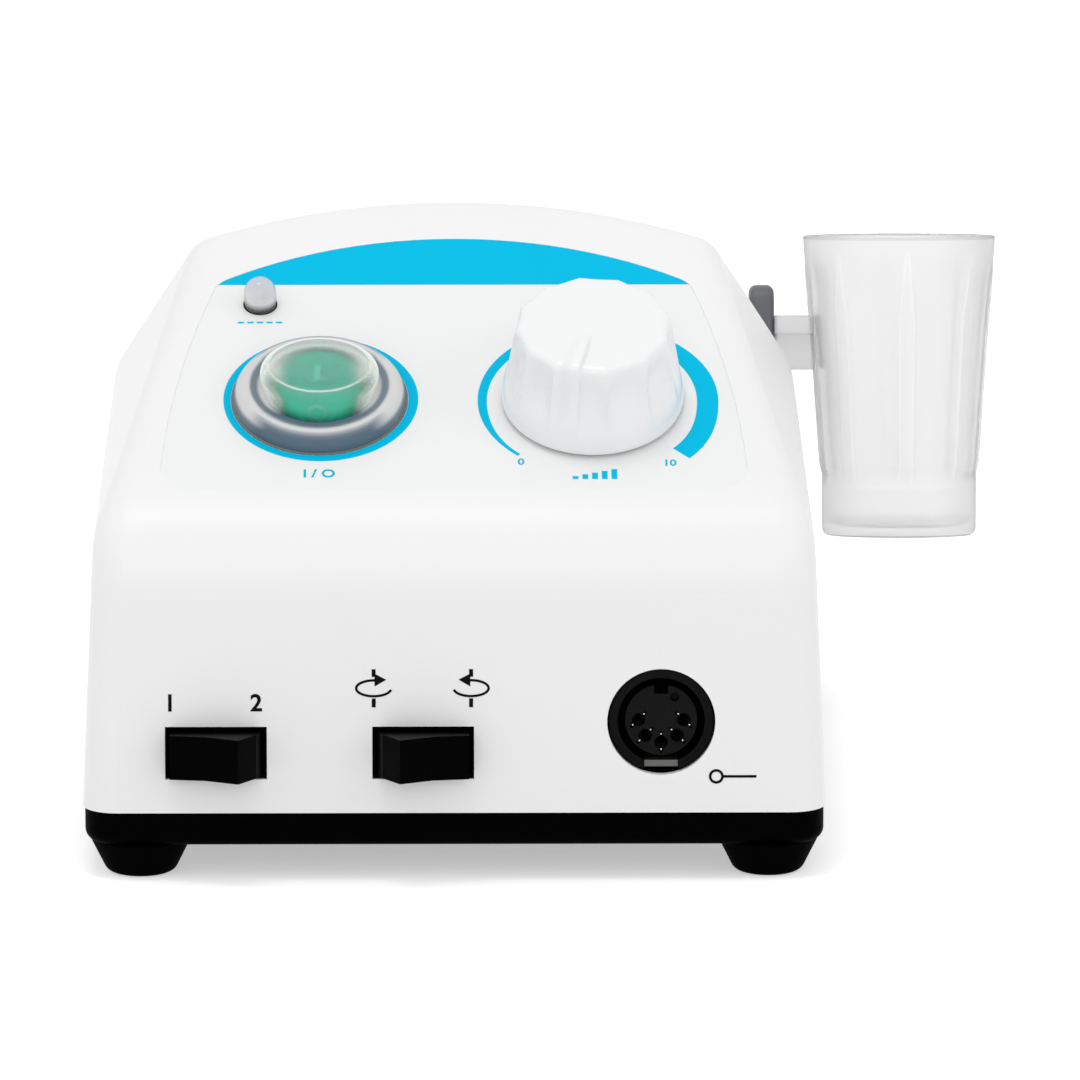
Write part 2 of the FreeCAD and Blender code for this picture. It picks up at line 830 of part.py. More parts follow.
def screws_below():
    feet = [screw("foot_screw", base_frame, x, y, size("foot_recess"), size("screw_radius"),
                  size("foot_height") - size("foot_recess") + size("tray_height"), head=-1.0)
            for x, y in corners(size("foot_x"), foot_y)]
    node("foot_screws", group("foot_screw_set", *feet))
    cases = [screw("housing_screw", base_frame, x, y, tray_top, size("screw_radius"),
                   size("tray_height") + size("lip_height") * 3, head=-1.0)
             for x, y in corners(size("post_x"), post_y)]
    node("housing_screws", group("housing_screw_set", *cases))


# Panel
def panel_overlay():
    height = size("overlay_thickness")
    recess = size("overlay_recess")
    sheet_form = overlay_form("overlay_form", 0.0, -recess, height)
    holes = [
        cylinder("overlay_power_hole", panel_frame, (size("power_x"), size("power_reach"), -recess * 2),
                 size("power_opening") / 2, size("wall")),
        cylinder("overlay_control_hole", panel_frame, (size("knob_x"), size("knob_reach"), -recess * 2),
                 size("bush_radius") * 2, size("wall")),
        cylinder("overlay_lamp_hole", panel_frame, (size("lamp_x"), size("lamp_reach"), -recess * 2),
                 size("lamp_hole") / 2, size("wall")),
    ]
    return node("panel_overlay", cut("overlay_solid", sheet_form, *holes))


def panel_lathe(name, x, reach, out, *outline):
    """Turned piece standing on the panel. The outline is given as radius and height."""
    body = new_body(name + "_body")
    solid = turn(body, draw(sketch_on(body, "XZ_Plane", name + "_profile"), *outline))
    place(body, panel_frame, x, reach, out)
    return body, solid


def power_switch():
    x = size("power_x")
    reach = size("power_reach")
    recess = size("overlay_recess")
    barrel = size("power_barrel") / 2
    flange = size("power_flange") / 2
    top = size("power_flange_height") - recess
    well = size("rocker_radius") + 0.55
    well_floor = size("rocker_bottom") + size("rocker_pivot") + size("wall") / 4
    body, solid = panel_lathe(
        "power_barrel", x, reach, 0.0,
        (0.0, -size("power_depth")),
        (barrel, -size("power_depth")),
        (barrel, -recess),
        (flange, -recess),
        (flange, top),
        (well, top),
        (well, -well_floor),
        (0.0, -well_floor))
    blades = [box("power_blade", panel_frame, (x, reach + step * barrel * 0.5, -size("power_depth") - 7.0),
                  (barrel * 0.48, 0.8, 7.0)) for step in (-1, 0, 1)]
    pin_hole = across("power_pin_hole", x, reach, -size("rocker_pivot"), size("rocker_pin") + size("slip"),
                      barrel * 0.92)
    node("power_switch_body", cut("power_switch_solid", fuse("power_switch_fused", body, *blades), pin_hole))
    bend = size("rocker_round")
    disc, solid = panel_lathe(
        "power_disc", x, reach, 0.0,
        (0.0, -size("rocker_bottom")),
        (size("rocker_radius"), -size("rocker_bottom")),
        (size("rocker_radius"), size("rocker_top") - bend, bend),
        (size("rocker_radius") - bend, size("rocker_top")),
        (0.0, size("rocker_top")))
    place(disc, key_frame, x, reach, 0.0)
    pin = across("power_pin", x, reach, -size("rocker_pivot"), size("rocker_pin"), barrel * 0.9)
    node("power_rocker", fuse("power_rocker_solid", disc, pin))


def across(name, x, reach, out, radius, half_length):
    """Round bar that lies along X on the panel."""
    body = new_body(name)
    sketch = draw_circle(sketch_on(body, "YZ_Plane", name + "_round"), 0.0, 0.0, radius)
    pad(body, sketch, half_length * 2, midplane=True)
    return place(body, panel_frame, x, reach, out)


def power_boot():
    x = size("power_x")
    reach = size("power_reach")
    recess = size("overlay_recess")
    flange = size("power_flange") / 2 + size("slip") / 2
    flange_top = size("power_flange_height") - recess + size("slip") / 2
    outer = size("boot_radius")
    inner = size("boot_inner")
    crest = size("boot_crest")
    body, solid = panel_lathe(
        "boot_skirt", x, reach, 0.0,
        (flange, -recess),
        (outer, -recess),
        (outer, crest - (outer - inner) / 2, (outer - inner) / 2 + 0.02),
        (inner, flange_top),
        (flange, flange_top))
    node("power_boot_skirt", body)
    radius = size("cap_radius")
    wall = size("cap_wall")
    start = size("cap_start")
    top = size("cap_top")
    cap, solid = panel_lathe(
        "boot_cap", x, reach, 0.0,
        (radius - wall, start),
        (radius, start),
        (radius, top),
        (0.0, top),
        (0.0, top - wall),
        (radius - wall, top - wall))
    round_edges(cap, solid, size("cap_round"),
                lambda edge: near(edge.BoundBox.ZMin, top) and edge.BoundBox.XLength > radius)
    place(cap, key_frame, x, reach, 0.0)
    node("power_boot_cap", cap)


def speed_knob():
    radius = size("knob_radius")
    top_radius = size("knob_top_radius")
    lift = size("knob_lift")
    skirt = size("knob_skirt")
    tall = size("knob_height")
    wall = size("knob_wall")
    bore = size("spindle_radius")
    body = new_body("knob_body")
    sketch = sketch_on(body, "XZ_Plane", "knob_profile")
    bore_top = lift + size("spindle_length") * 0.75
    boss_end = size("bush_length") - size("wall") + size("gap")
    draw(sketch,
         (bore, boss_end),
         (bore * 1.8, boss_end),
         (bore * 1.8, tall - wall),
         (top_radius - wall, tall - wall),
         (radius - wall, skirt),
         (radius - wall, lift),
         (radius, lift),
         (radius, skirt, 42.0),
         (top_radius, tall),
         (0.0, tall),
         (0.0, bore_top),
         (bore, bore_top))
    solid = turn(body, sketch)
    round_edges(body, solid, size("knob_round"),
                lambda edge: near(edge.BoundBox.ZMin, tall) and edge.BoundBox.XLength > top_radius)
    depth = size("flute_depth")
    scoop = size("flute_radius")
    flute = sketch_on(body, "XZ_Plane", "flute_profile", Vector(0, 1, 0), 180.0 / size("flute_count"))
    run = tall - skirt
    ease = (radius - top_radius + depth) / run
    top_z = tall + 2.0
    draw(flute,
         (radius, skirt),
         (radius + scoop, skirt),
         (radius + scoop - ease * (top_z - skirt), top_z),
         (radius - ease * (top_z - skirt), top_z))
    axis = flute.addGeometry(Part.LineSegment(Vector(float(radius + scoop), float(skirt), 0),
                             Vector(float(radius + scoop - ease * (top_z - skirt)), float(top_z), 0)), True)
    pin_point(flute, axis, 1, radius + scoop, skirt, "axis_foot")
    pin_point(flute, axis, 2, radius + scoop - ease * (top_z - skirt), top_z, "axis_head")
    groove = body.newObject("PartDesign::Groove", "flute_groove")
    groove.Profile = flute
    groove.ReferenceAxis = (flute, ["Axis0"])
    groove.Angle = 360.0
    repeat_round(body, [groove], size("flute_count"), sketch)
    pointer = sketch_on(body, "XZ_Plane", "pointer_profile", Vector(0, 1, 0), 270.0 - size("pointer_angle"))
    proud = size("pointer_height")
    draw(pointer,
         (radius - wall / 2, skirt),
         (radius, skirt),
         (top_radius + proud * 0.5, tall - size("knob_round")),
         (top_radius - proud * 0.4, tall - proud * 0.3),
         (top_radius - size("pointer_reach") * 0.6, tall + proud),
         (top_radius - size("pointer_reach"), tall + proud * 0.9),
         (top_radius - size("pointer_reach"), tall - wall * 0.4),
         (top_radius - wall * 0.6, tall - wall))
    ridge = pad(body, pointer, size("pointer_width"), midplane=True)
    body.Tip = ridge
    return node("speed_knob", place(body, panel_frame, size("knob_x"), size("knob_reach"), 0.0))


def speed_control():
    x = size("knob_x")
    reach = size("knob_reach")
    wall = size("wall")
    recess = size("overlay_recess")
    bush = size("bush_radius")
    spindle = size("spindle_radius")
    case, solid = panel_lathe(
        "control_case", x, reach, 0.0,
        (0.0, -wall - size("control_depth")),
        (size("control_radius"), -wall - size("control_depth")),
        (size("control_radius"), -wall),
        (bush, -wall),
        (bush, size("bush_length") - wall),
        (spindle + 0.05, size("bush_length") - wall),
        (spindle + 0.05, -wall - 1.0),
        (0.0, -wall - 1.0))
    legs = [box("control_leg", panel_frame, (x + step * 5.0, reach - size("control_radius") - 0.5,
                -size("panel_board_depth") + size("board_thickness")),
                (1.0, 1.6, size("panel_board_depth") - wall - 1.0 - size("board_thickness"))) for step in (-1, 0, 1)]
    node("speed_control_body", fuse("speed_control_solid", case, *legs))
    washer = cylinder("washer_disc", panel_frame, (x, reach, -recess), bush * 1.9, 0.5)
    washer_hole = cylinder("washer_hole", panel_frame, (x, reach, -1.0), bush + size("slip") / 2, 2.0)
    node("speed_control_washer", cut("washer_solid", washer, washer_hole))
    nut = prism("nut_hex", panel_frame, (x, reach, 0.5 - recess), bush * 1.7, 1.8, 6)
    nut_hole = cylinder("nut_hole", panel_frame, (x, reach, -1.0), bush + size("slip") / 2, 4.0)
    node("speed_control_nut", cut("nut_solid", nut, nut_hole))
    start = -wall - 0.9
    node("speed_spindle", cylinder("spindle_rod", panel_frame, (x, reach, start), spindle - size("slip") / 5,
                                   size("knob_lift") + size("spindle_length") * 0.75 - start - 0.1))


def warning_lamp():
    x = size("lamp_x")
    reach = size("lamp_reach")
    radius = size("lamp_radius")
    wall = size("wall")
    board_top = size("board_thickness") - size("panel_board_depth")
    lens = fuse(
        "lamp_solid",
        cylinder("lamp_barrel", panel_frame, (x, reach, -wall * 2), radius, wall * 2 + size("lamp_centre")),
        sphere("lamp_dome", panel_frame, (x, reach, size("lamp_centre")), radius),
        cylinder("lamp_flange", panel_frame, (x, reach, -wall * 2 - 1.0), radius + 0.4, 1.0))
    node("warning_lamp", lens)
    legs = [box("lamp_leg", panel_frame, (x + side * 1.27, reach, board_top),
                (0.5, 0.5, -wall * 2 - 1.0 - board_top)) for side in (-1, 1)]
    node("lamp_leads", group("lamp_lead_set", *legs))
    spacer = cylinder("spacer_tube", panel_frame, (x, reach, board_top), radius + 0.4,
                      -wall * 2 - 1.0 - board_top)
    bores = [box("spacer_bore", panel_frame, (x + side * 1.27, reach, board_top - 1.0), (0.9, 0.9, 20.0))
             for side in (-1, 1)]
    node("lamp_spacer", cut("lamp_spacer_solid", spacer, *bores))


def control_board():
    start = size("panel_board_start")
    end = size("panel_board_end")
    depth = size("panel_board_depth")
    middle = (start + end) / 2
    plate = box("control_plate", panel_frame, (0.0, middle, -depth),
                (size("panel_board_width"), end - start, size("board_thickness")))
    clear = cylinder("board_clearance", panel_frame, (size("power_x"), size("power_reach"), -depth * 2),
                     size("power_barrel") / 2 + 1.0, depth * 2)
    node("control_board", cut("control_board_solid", plate, clear))


# Front
def paddle_switch(prefix, x, side):
    """Small rocker switch. The raised end stands on the given side of it at rest."""
    level = size("switch_level")
    sink = size("switch_sink")
    wide = size("switch_width") - size("slip") * 2
    high = size("switch_height") - size("slip") * 2
    wall = size("switch_wall")
    pivot = size("paddle_pivot")
    case = box(prefix + "_case", front_frame, (x, level, -size("switch_depth")),
               (wide, high, size("switch_depth") - sink))
    well = box(prefix + "_well", front_frame, (x, level, -size("switch_cavity")),
               (wide - wall, high - wall * 2, size("switch_cavity") * 2))
    pin_hole = upright(prefix + "_pin_hole", x, level, -pivot, size("paddle_pin") + size("slip") / 2,
                       high - wall * 0.4)
    blades = [box(prefix + "_blade", front_frame, (x + step * 4.8, level, -size("switch_depth") - 6.0),
                  (0.8, 4.0, 6.0)) for step in (-1, 0, 1)]
    node(prefix + "_switch_body", cut(prefix + "_switch_solid", fuse(prefix + "_fused", case, *blades),
                                      well, pin_hole))
    body = new_body(prefix + "_paddle")
    sketch = sketch_on(body, "XZ_Plane", prefix + "_paddle_profile", Vector(0, 0, 1),
                       side * size("paddle_tilt"))
    base = size("paddle_half_base")
    ridge = size("paddle_half_ridge")
    draw(sketch,
         (-base, -1.5),
         (base, -1.5),
         (base, 1.0),
         (ridge, size("paddle_ridge")),
         (0.0, size("paddle_dip")),
         (-ridge, size("paddle_ridge")),
         (-base, 1.0))
    pad(body, sketch, high - wall * 2 - size("slip") * 2, midplane=True)
    place(body, front_frame, x, level, -pivot)
    pin = upright(prefix + "_pin", x, level, -pivot, size("paddle_pin"), high - wall * 0.6)
    node(prefix + "_rocker", fuse(prefix + "_rocker_solid", body, pin))


def upright(name, x, level, out, radius, length):
    """Round bar that runs up the front face."""
    body = new_body(name)
    pad(body, draw_circle(sketch_on(body, "XZ_Plane", name + "_round"), 0.0, 0.0, radius), length, midplane=True)
    return place(body, front_frame, x, level, out)


def contact_slot(name, x, level, turn):
    """Narrow slot across a contact's hole, for the split of its spring."""
    reach = size("contact_radius") * 2.3
    half = size("contact_radius") * 0.35
    body = new_body(name)
    sketch = sketch_on(body, "XY_Plane", name + "_outline", Vector(0, 0, 1), turn)
    draw(sketch,
         (-reach, -half),
         (reach, -half),
         (reach, half),
         (-reach, half))
    pad(body, sketch, 4.0)
    return place(body, front_frame, x, level, -size("socket_sink") - 2.0)


def motor_socket():
    x = size("socket_x")
    level = size("socket_level")
    sink = size("socket_sink")
    depth = size("socket_depth")
    outer = size("socket_outer") / 2
    bore = size("socket_ring_bore") / 2
    insert = size("socket_insert") / 2
    shell = cylinder("socket_barrel", front_frame, (x, level, -depth), outer, depth - sink)
    flange = box("socket_flange", front_frame, (x, level, -size("wall") - 2.0 - size("slip")),
                 (22.0, 20.0, 2.0))
    ring_bore = cylinder("socket_bore", front_frame, (x, level, 1.5 - depth), bore, depth * 2)
    tab_slot = box("socket_tab_slot", front_frame, (x, level - bore - 0.2, 1.5 - depth), (5.4, 1.6, depth * 2))
    node("motor_socket_shell", cut("socket_shell_solid", fuse("socket_shell_fused", shell, flange),
                                   ring_bore, tab_slot))
    disc = cylinder("insert_disc", front_frame, (x, level, 1.5 - depth), insert, depth - 1.5 - sink - 0.4)
    key = box("insert_key", front_frame, (x, level + insert - 0.5, 2.5 - depth), (2.2, 1.9, depth))
    circle = size("contact_circle") / 2
    places = []
    for step in range(5):
        angle = 180.0 + 45.0 * step
        places.append((x + circle * cosine(angle), level + circle * sine(angle)))
    holes = [cylinder("contact_hole", front_frame, (at_x, at, 2.5 - depth), size("contact_radius") + 0.3, depth)
             for at_x, at in places]
    slot_turns = (45.0, 45.0, 90.0, 135.0, 135.0)
    holes += [contact_slot("contact_slot%d" % step, at_x, at, turn)
              for step, ((at_x, at), turn) in enumerate(zip(places, slot_turns))]
    node("motor_socket_insert", cut("insert_solid", disc, key, *holes))
    contacts = []
    for at_x, at in places:
        tube = cylinder("contact_tube", front_frame, (at_x, at, 2.5 - depth), size("contact_radius") + 0.25,
                        depth - 2.5 - sink - 2.4)
        hole = cylinder("contact_bore", front_frame, (at_x, at, 4.0 - depth), size("contact_radius") * 0.8, depth)
        contacts.append(cut("contact", tube, hole))
    node("motor_socket_contacts", group("contact_set", *contacts))
    node("motor_socket_tab", box("socket_tab", front_frame, (x, level - bore - 0.1, 1.6 - depth),
                                 (5.2, 1.0, depth - 1.6 - sink - 0.2)))


# Back wall
def mains_inlet():
    x = size("inlet_x")
    level = -size("back_level")
    depth = size("inlet_body_depth")
    flange_form = new_body("inlet_flange_body")
    half = size("inlet_width") / 2
    high = size("inlet_height") / 2
    waist = size("inlet_body_width") / 2 + 2.0
    sketch = sketch_on(flange_form, "XY_Plane", "inlet_flange_outline")
    draw(sketch, (-waist, -high), (waist, -high), (half, -high / 2), (half, high / 2), (waist, high),
         (-waist, high), (-half, high / 2), (-half, -high / 2))
    plate = pad(flange_form, sketch, size("inlet_flange"))
    round_edges(flange_form, plate, 2.0, lambda edge: edge.BoundBox.ZLength > 1.0)
    place(flange_form, back_frame, x, level, 0.0)
    shell = box("inlet_shell", back_frame, (x, level, -depth),
                (size("inlet_body_width"), size("inlet_body_height"), depth))
    mouth_body = new_body("inlet_mouth")
    wide = size("inlet_mouth_width") / 2
    tall = size("inlet_mouth_height") / 2
    corner = tall * 0.6
    mouth = sketch_on(mouth_body, "XY_Plane", "inlet_mouth_outline")
    draw(mouth, (-wide, -tall + corner), (-wide + corner, -tall), (wide - corner, -tall),
         (wide, -tall + corner), (wide, tall), (-wide, tall))
    pad(mouth_body, mouth, size("inlet_mouth_depth") + size("inlet_flange"))
    place(mouth_body, back_frame, x, level, -size("inlet_mouth_depth"))
    screw_holes = [cylinder("flange_hole", back_frame, (at, level, -1.0), size("screw_radius") + 0.05, 10.0)
                   for at in inlet_screw_places()]
    pins = [(x - 7.0, level + 2.0), (x + 7.0, level + 2.0), (x, level - 2.0)]
    slots = [box("inlet_pin_slot", back_frame, (at_x, at, -depth - 1.0), (2.05, 4.05, depth / 2))
             for at_x, at in pins]
    node("mains_inlet", cut("mains_inlet_solid", fuse("inlet_fused", flange_form, shell), mouth_body,
                            *(screw_holes + slots)))
    node("mains_inlet_pins", group("inlet_pin_set", *[
        box("inlet_pin", back_frame, (at_x, at, -depth - 7.0), (2.0, 4.0, depth + 3.0)) for at_x, at in pins]))
    node("mains_inlet_screws", group("inlet_screw_set", *[
        screw("inlet_screw", back_frame, at, level, size("inlet_flange"), size("screw_radius"), 9.0)
        for at in inlet_screw_places()]))


def fuse_holder():
    x = size("fuse_x")
    level = -size("back_level")
    barrel = size("fuse_barrel") / 2
    bore = size("fuse_cap_radius")
    depth = size("fuse_depth")
    tube = cylinder("fuse_tube", back_frame, (x, level, -depth), barrel, depth)
    flange = cylinder("fuse_flange", back_frame, (x, level, 0.0), size("fuse_flange") / 2, 2.0)
    hole = cylinder("fuse_bore", back_frame, (x, level, 2.0 - depth), bore, depth * 2)
    node("fuse_holder", cut("fuse_holder_solid", fuse("fuse_fused", tube, flange), hole))
    nut = prism("fuse_nut_hex", back_frame, (x, level, -size("wall") - 3.0), barrel * 1.45, 3.0, 6)
    node("fuse_holder_nut", cut("fuse_nut_solid", nut, cylinder(
        "fuse_nut_hole", back_frame, (x, level, -size("wall") - 4.0), barrel + size("slip") / 2, 5.0)))
    stem = cylinder("fuse_stem", back_frame, (x, level, -5.0), bore - size("slip"), 7.0)
    knob = cylinder("fuse_knob", back_frame, (x, level, 2.0), size("fuse_barrel") / 2, size("fuse_cap_length"))
    slot = box("fuse_slot", back_frame, (x, level, size("fuse_cap_length") + 0.8), (9.0, 1.2, 5.0))
    pocket_hole = cylinder("fuse_pocket", back_frame, (x, level, -6.0), 2.6, 5.0)
    node("fuse_cap", cut("fuse_cap_solid", fuse("fuse_cap_fused", stem, knob), slot, pocket_hole))
    node("glass_fuse", cylinder("fuse_link", back_frame, (x, level, -1.0 - 20.0), 2.5, 20.0))


def foot_jack():
    x = size("jack_x")
    level = -size("back_level")
    bush = size("jack_bush") / 2
    wall = size("wall")
    case = box("jack_case", back_frame, (x, level, -wall - size("jack_depth")),
               (size("jack_body"), size("jack_body"), size("jack_depth")))
    thread = cylinder("jack_thread", back_frame, (x, level, -wall - 1.0), bush, wall + 1.0 + 4.0)
    bore = cylinder("jack_bore", back_frame, (x, level, -wall - size("jack_depth") * 0.9),
                    size("jack_bore") / 2, size("jack_depth") * 2)
    node("foot_control_jack", cut("jack_solid", fuse("jack_fused", case, thread), bore))
    nut = prism("jack_nut_hex", back_frame, (x, level, 0.0), size("jack_nut") * 0.577, 2.4, 6)
    node("foot_control_nut", cut("jack_nut_solid", nut, cylinder(
        "jack_nut_hole", back_frame, (x, level, -1.0), bush + size("slip") / 2, 6.0)))


# Inside
def strap_screw_places():
    reach = size("core_width") / 2 + (size("strap_foot") + size("strap_thickness")) / 2
    return [(size("core_x") - reach, size("core_y")), (size("core_x") + reach, size("core_y"))]


def transformer():
    x = size("core_x")
    y = size("core_y")
    width = size("core_width")
    tall = size("core_height")
    stack = size("core_stack")
    leg = size("core_leg")
    slip = size("slip")
    block = box("core_block", base_frame, (x, y, tray_top), (width, stack, tall))
    window_width = (width - leg * 4.0) / 2
    windows = [box("core_window", base_frame, (x + side * (leg + window_width / 2), y, tray_top + leg),
                   (window_width, stack * 2, tall - leg * 2)) for side in (-1, 1)]
    node("transformer_core", cut("core_solid", block, *windows))
    coil_width = leg * 2 + window_width * 2 - slip * 4
    coil_length = stack + size("coil_bulge") * 2
    coil_height = tall - leg * 2 - slip * 4
    coil = box("coil_block", base_frame, (x, y, tray_top + leg + slip * 2), (coil_width, coil_length, coil_height))
    core_hole = box("coil_hole", base_frame, (x, y, tray_top), (leg * 2 + slip * 2, stack + slip * 2, tall))
    wound = new_body("coil_body")
    wound.BaseFeature = cut("coil_raw", coil, core_hole)
    doc.recompute()
    base = wound.Group[0]
    round_edges(wound, base, size("coil_bulge") * 0.6,
                lambda edge: edge.BoundBox.ZLength > coil_height * 0.9
                and near(edge.BoundBox.XLength, 0.0) and abs(middle_of(edge).y - y) > stack / 2 + 1.0)
    node("transformer_coil", wound)
    thick = size("strap_thickness")
    foot = size("strap_foot")
    outer = box("strap_outer", base_frame, (x, y, tray_top), (width + thick * 2, stack * 0.7, tall + thick))
    inner = box("strap_inner", base_frame, (x, y, 0.0), (width, stack, tall + tray_top))
    feet = box("strap_feet", base_frame, (x, y, tray_top), (width + foot * 2, stack * 0.7, thick))
    holes = [cylinder("strap_hole", base_frame, (at_x, at_y, 0.0), size("screw_radius") + 0.05, tall)
             for at_x, at_y in strap_screw_places()]
    node("transformer_strap", cut("strap_solid", fuse("strap_fused", outer, feet), inner, *holes))
    node("transformer_screws", group("strap_screw_set", *[
        screw("strap_screw", base_frame, at_x, at_y, tray_top + thick, size("screw_radius"), 2.6)
        for at_x, at_y in strap_screw_places()]))


def board_corners():
    across_x = size("board_width") / 2 - size("board_screw_inset")
    along_y = board_length / 2 - size("board_screw_inset")
    return [(size("board_x") + x, y) for x, y in corners(across_x, along_y)]


def power_board():
    x = size("board_x")
    bottom = tray_top + size("board_lift")
    thick = size("board_thickness")
    top = bottom + thick
    plate = box("board_plate", base_frame, (x, 0.0, bottom), (size("board_width"), board_length, thick))
    holes = [cylinder("board_hole", base_frame, (at_x, at_y, 0.0), size("small_screw_radius") + 0.05, top * 2)
             for at_x, at_y in board_corners()]
    node("power_board", cut("power_board_solid", plate, *holes))
    node("board_screws", group("board_screw_set", *[
        screw("board_screw", base_frame, at_x, at_y, top, size("small_screw_radius"), thick + 4.0)
        for at_x, at_y in board_corners()]))
    node("smoothing_capacitor", cylinder("capacitor_can", base_frame,
                                         (x - 6.0, board_length * 0.3, top), size("capacitor_radius"),
                                         size("capacitor_height")))
    node("bridge_rectifier", box("rectifier_block", base_frame, (x - 8.0, board_length * 0.05, top),
                                 (5.0, 15.0, 11.0)))
    sink_x = x + 8.0
    sink_y = board_length * -0.2
    length = size("sink_length")
    middle = (size("fin_count") - 1.0) / 2
    fins = [box("sink_fin", base_frame, (sink_x + 3.0, sink_y + (index - middle) * size("fin_pitch"), top),
                (8.0, 1.4, size("sink_height"))) for index in range(int(size("fin_count")))]
    back = box("sink_back", base_frame, (sink_x - 2.0, sink_y, top), (2.4, length, size("sink_height")))
    node("heat_sink", fuse("heat_sink_solid", back, *fins))
    node("power_transistor", fuse(
        "transistor_solid",
        box("transistor_block", base_frame, (sink_x - 2.0 - 1.2 - 2.3, sink_y, top + 5.0), (4.4, 10.0, 9.0)),
        box("transistor_tab", base_frame, (sink_x - 2.0 - 1.2 - 0.75, sink_y, top + 14.0), (1.3, 10.0, 6.0)),
        *[box("transistor_leg", base_frame, (sink_x - 2.0 - 1.2 - 2.3, sink_y + step * 2.54, top),
              (0.6, 0.8, 5.0)) for step in (-1, 0, 1)]))


# Cup and holder
def holder():
    x = size("clip_x")
    wide = size("clip_width")
    long = size("clip_length")
    slip = size("slip")
    thick = size("bracket_thickness")
    level = -size("bracket_level")
    plate = box("bracket_plate", back_frame, (size("bracket_x"), level, 0.0),
                (size("bracket_width"), size("bracket_height"), thick))
    bar_width = wide + 2.0
    bar = box("bracket_bar", back_frame, (x + wide / 2 - bar_width / 2, level + 1.0, thick - 0.5),
              (bar_width, size("clip_drop") * 0.6, size("holder_reach")))
    post_form = new_body("clip_body")
    sketch = sketch_on(post_form, "YZ_Plane", "clip_profile")
    top = size("clip_top")
    bend = (long - size("tongue_width")) / 2 - size("slip")
    draw(sketch,
         (-long / 2, -size("clip_drop")),
         (long / 2, -size("clip_drop")),
         (long / 2, top - bend, bend),
         (long / 2 - bend, top),
         (-long / 2 + bend, top, bend),
         (-long / 2, top - bend))
    post_pad = pad(post_form, sketch, wide, midplane=True)
    round_edges(post_form, post_pad, 1.2,
                lambda edge: near(abs(middle_of(edge).x), wide / 2) and middle_of(edge).z > -size("clip_drop") + 0.5)
    place(post_form, holder_frame, x, 0.0, 0.0)
    tongue = size("tongue_depth")
    slot = box("clip_slot", holder_frame, (x + wide / 2 - tongue / 2 + 1.0, 0.0, size("arm_top") - size("arm_height")),
               (tongue + 2.0, size("tongue_width"), size("clip_top") * 2))
    plate_holes = [cylinder("bracket_hole", back_frame, (at_x, level, -1.0), size("small_screw_radius") + 0.05, 9.0)
                   for at_x in bracket_screw_places()]
    node("holder_bracket", cut("holder_bracket_solid", fuse("bracket_fused", plate, bar, post_form), slot,
                               *plate_holes))
    node("bracket_screws", group("bracket_screw_set", *[
        screw("bracket_screw", back_frame, at_x, level, thick, size("small_screw_radius"), 6.5)
        for at_x in bracket_screw_places()]))
    cup_form("handpiece_cup")


def cup_flutes(body, start, end):
    """Broad shallow flutes that run down the side of the cup and fade at both ends."""
    ease = size("cup_flute_ease")
    depth = size("cup_flute_depth")
    scoop = size("cup_flute_radius")
    foot = size("cup_bottom_radius")
    climb = size("cup_height") - size("cup_band")
    taper = (size("cup_radius") - foot) / climb
    spin = size("cup_ridge_turn") + 180.0 / size("cup_flutes")
    flute = sketch_on(body, "XZ_Plane", "cup_flute_profile", Vector(0, 1, 0), spin)

    def side(height, out):
        return foot + taper * (height - start) + out, height

    draw(flute,
         side(start, scoop),
         side(start, size("gap")),
         side(start + ease, -depth),
         side(end - ease, -depth),
         side(end, size("gap")),
         side(end, scoop))
    foot_x, foot_z = side(start, scoop)
    head_x, head_z = side(end, scoop)
    axis = flute.addGeometry(Part.LineSegment(Vector(float(foot_x), float(foot_z), 0),
                             Vector(float(head_x), float(head_z), 0)), True)
    pin_point(flute, axis, 1, foot_x, foot_z, "axis_foot")
    pin_point(flute, axis, 2, head_x, head_z, "axis_head")
    groove = body.newObject("PartDesign::Groove", "cup_flute_groove")
    groove.Profile = flute
    groove.ReferenceAxis = (flute, ["Axis0"])
    groove.Angle = 360.0
    upright = sketch_on(body, "XZ_Plane", "cup_axis")
    repeat_round(body, [groove], size("cup_flutes"), upright)


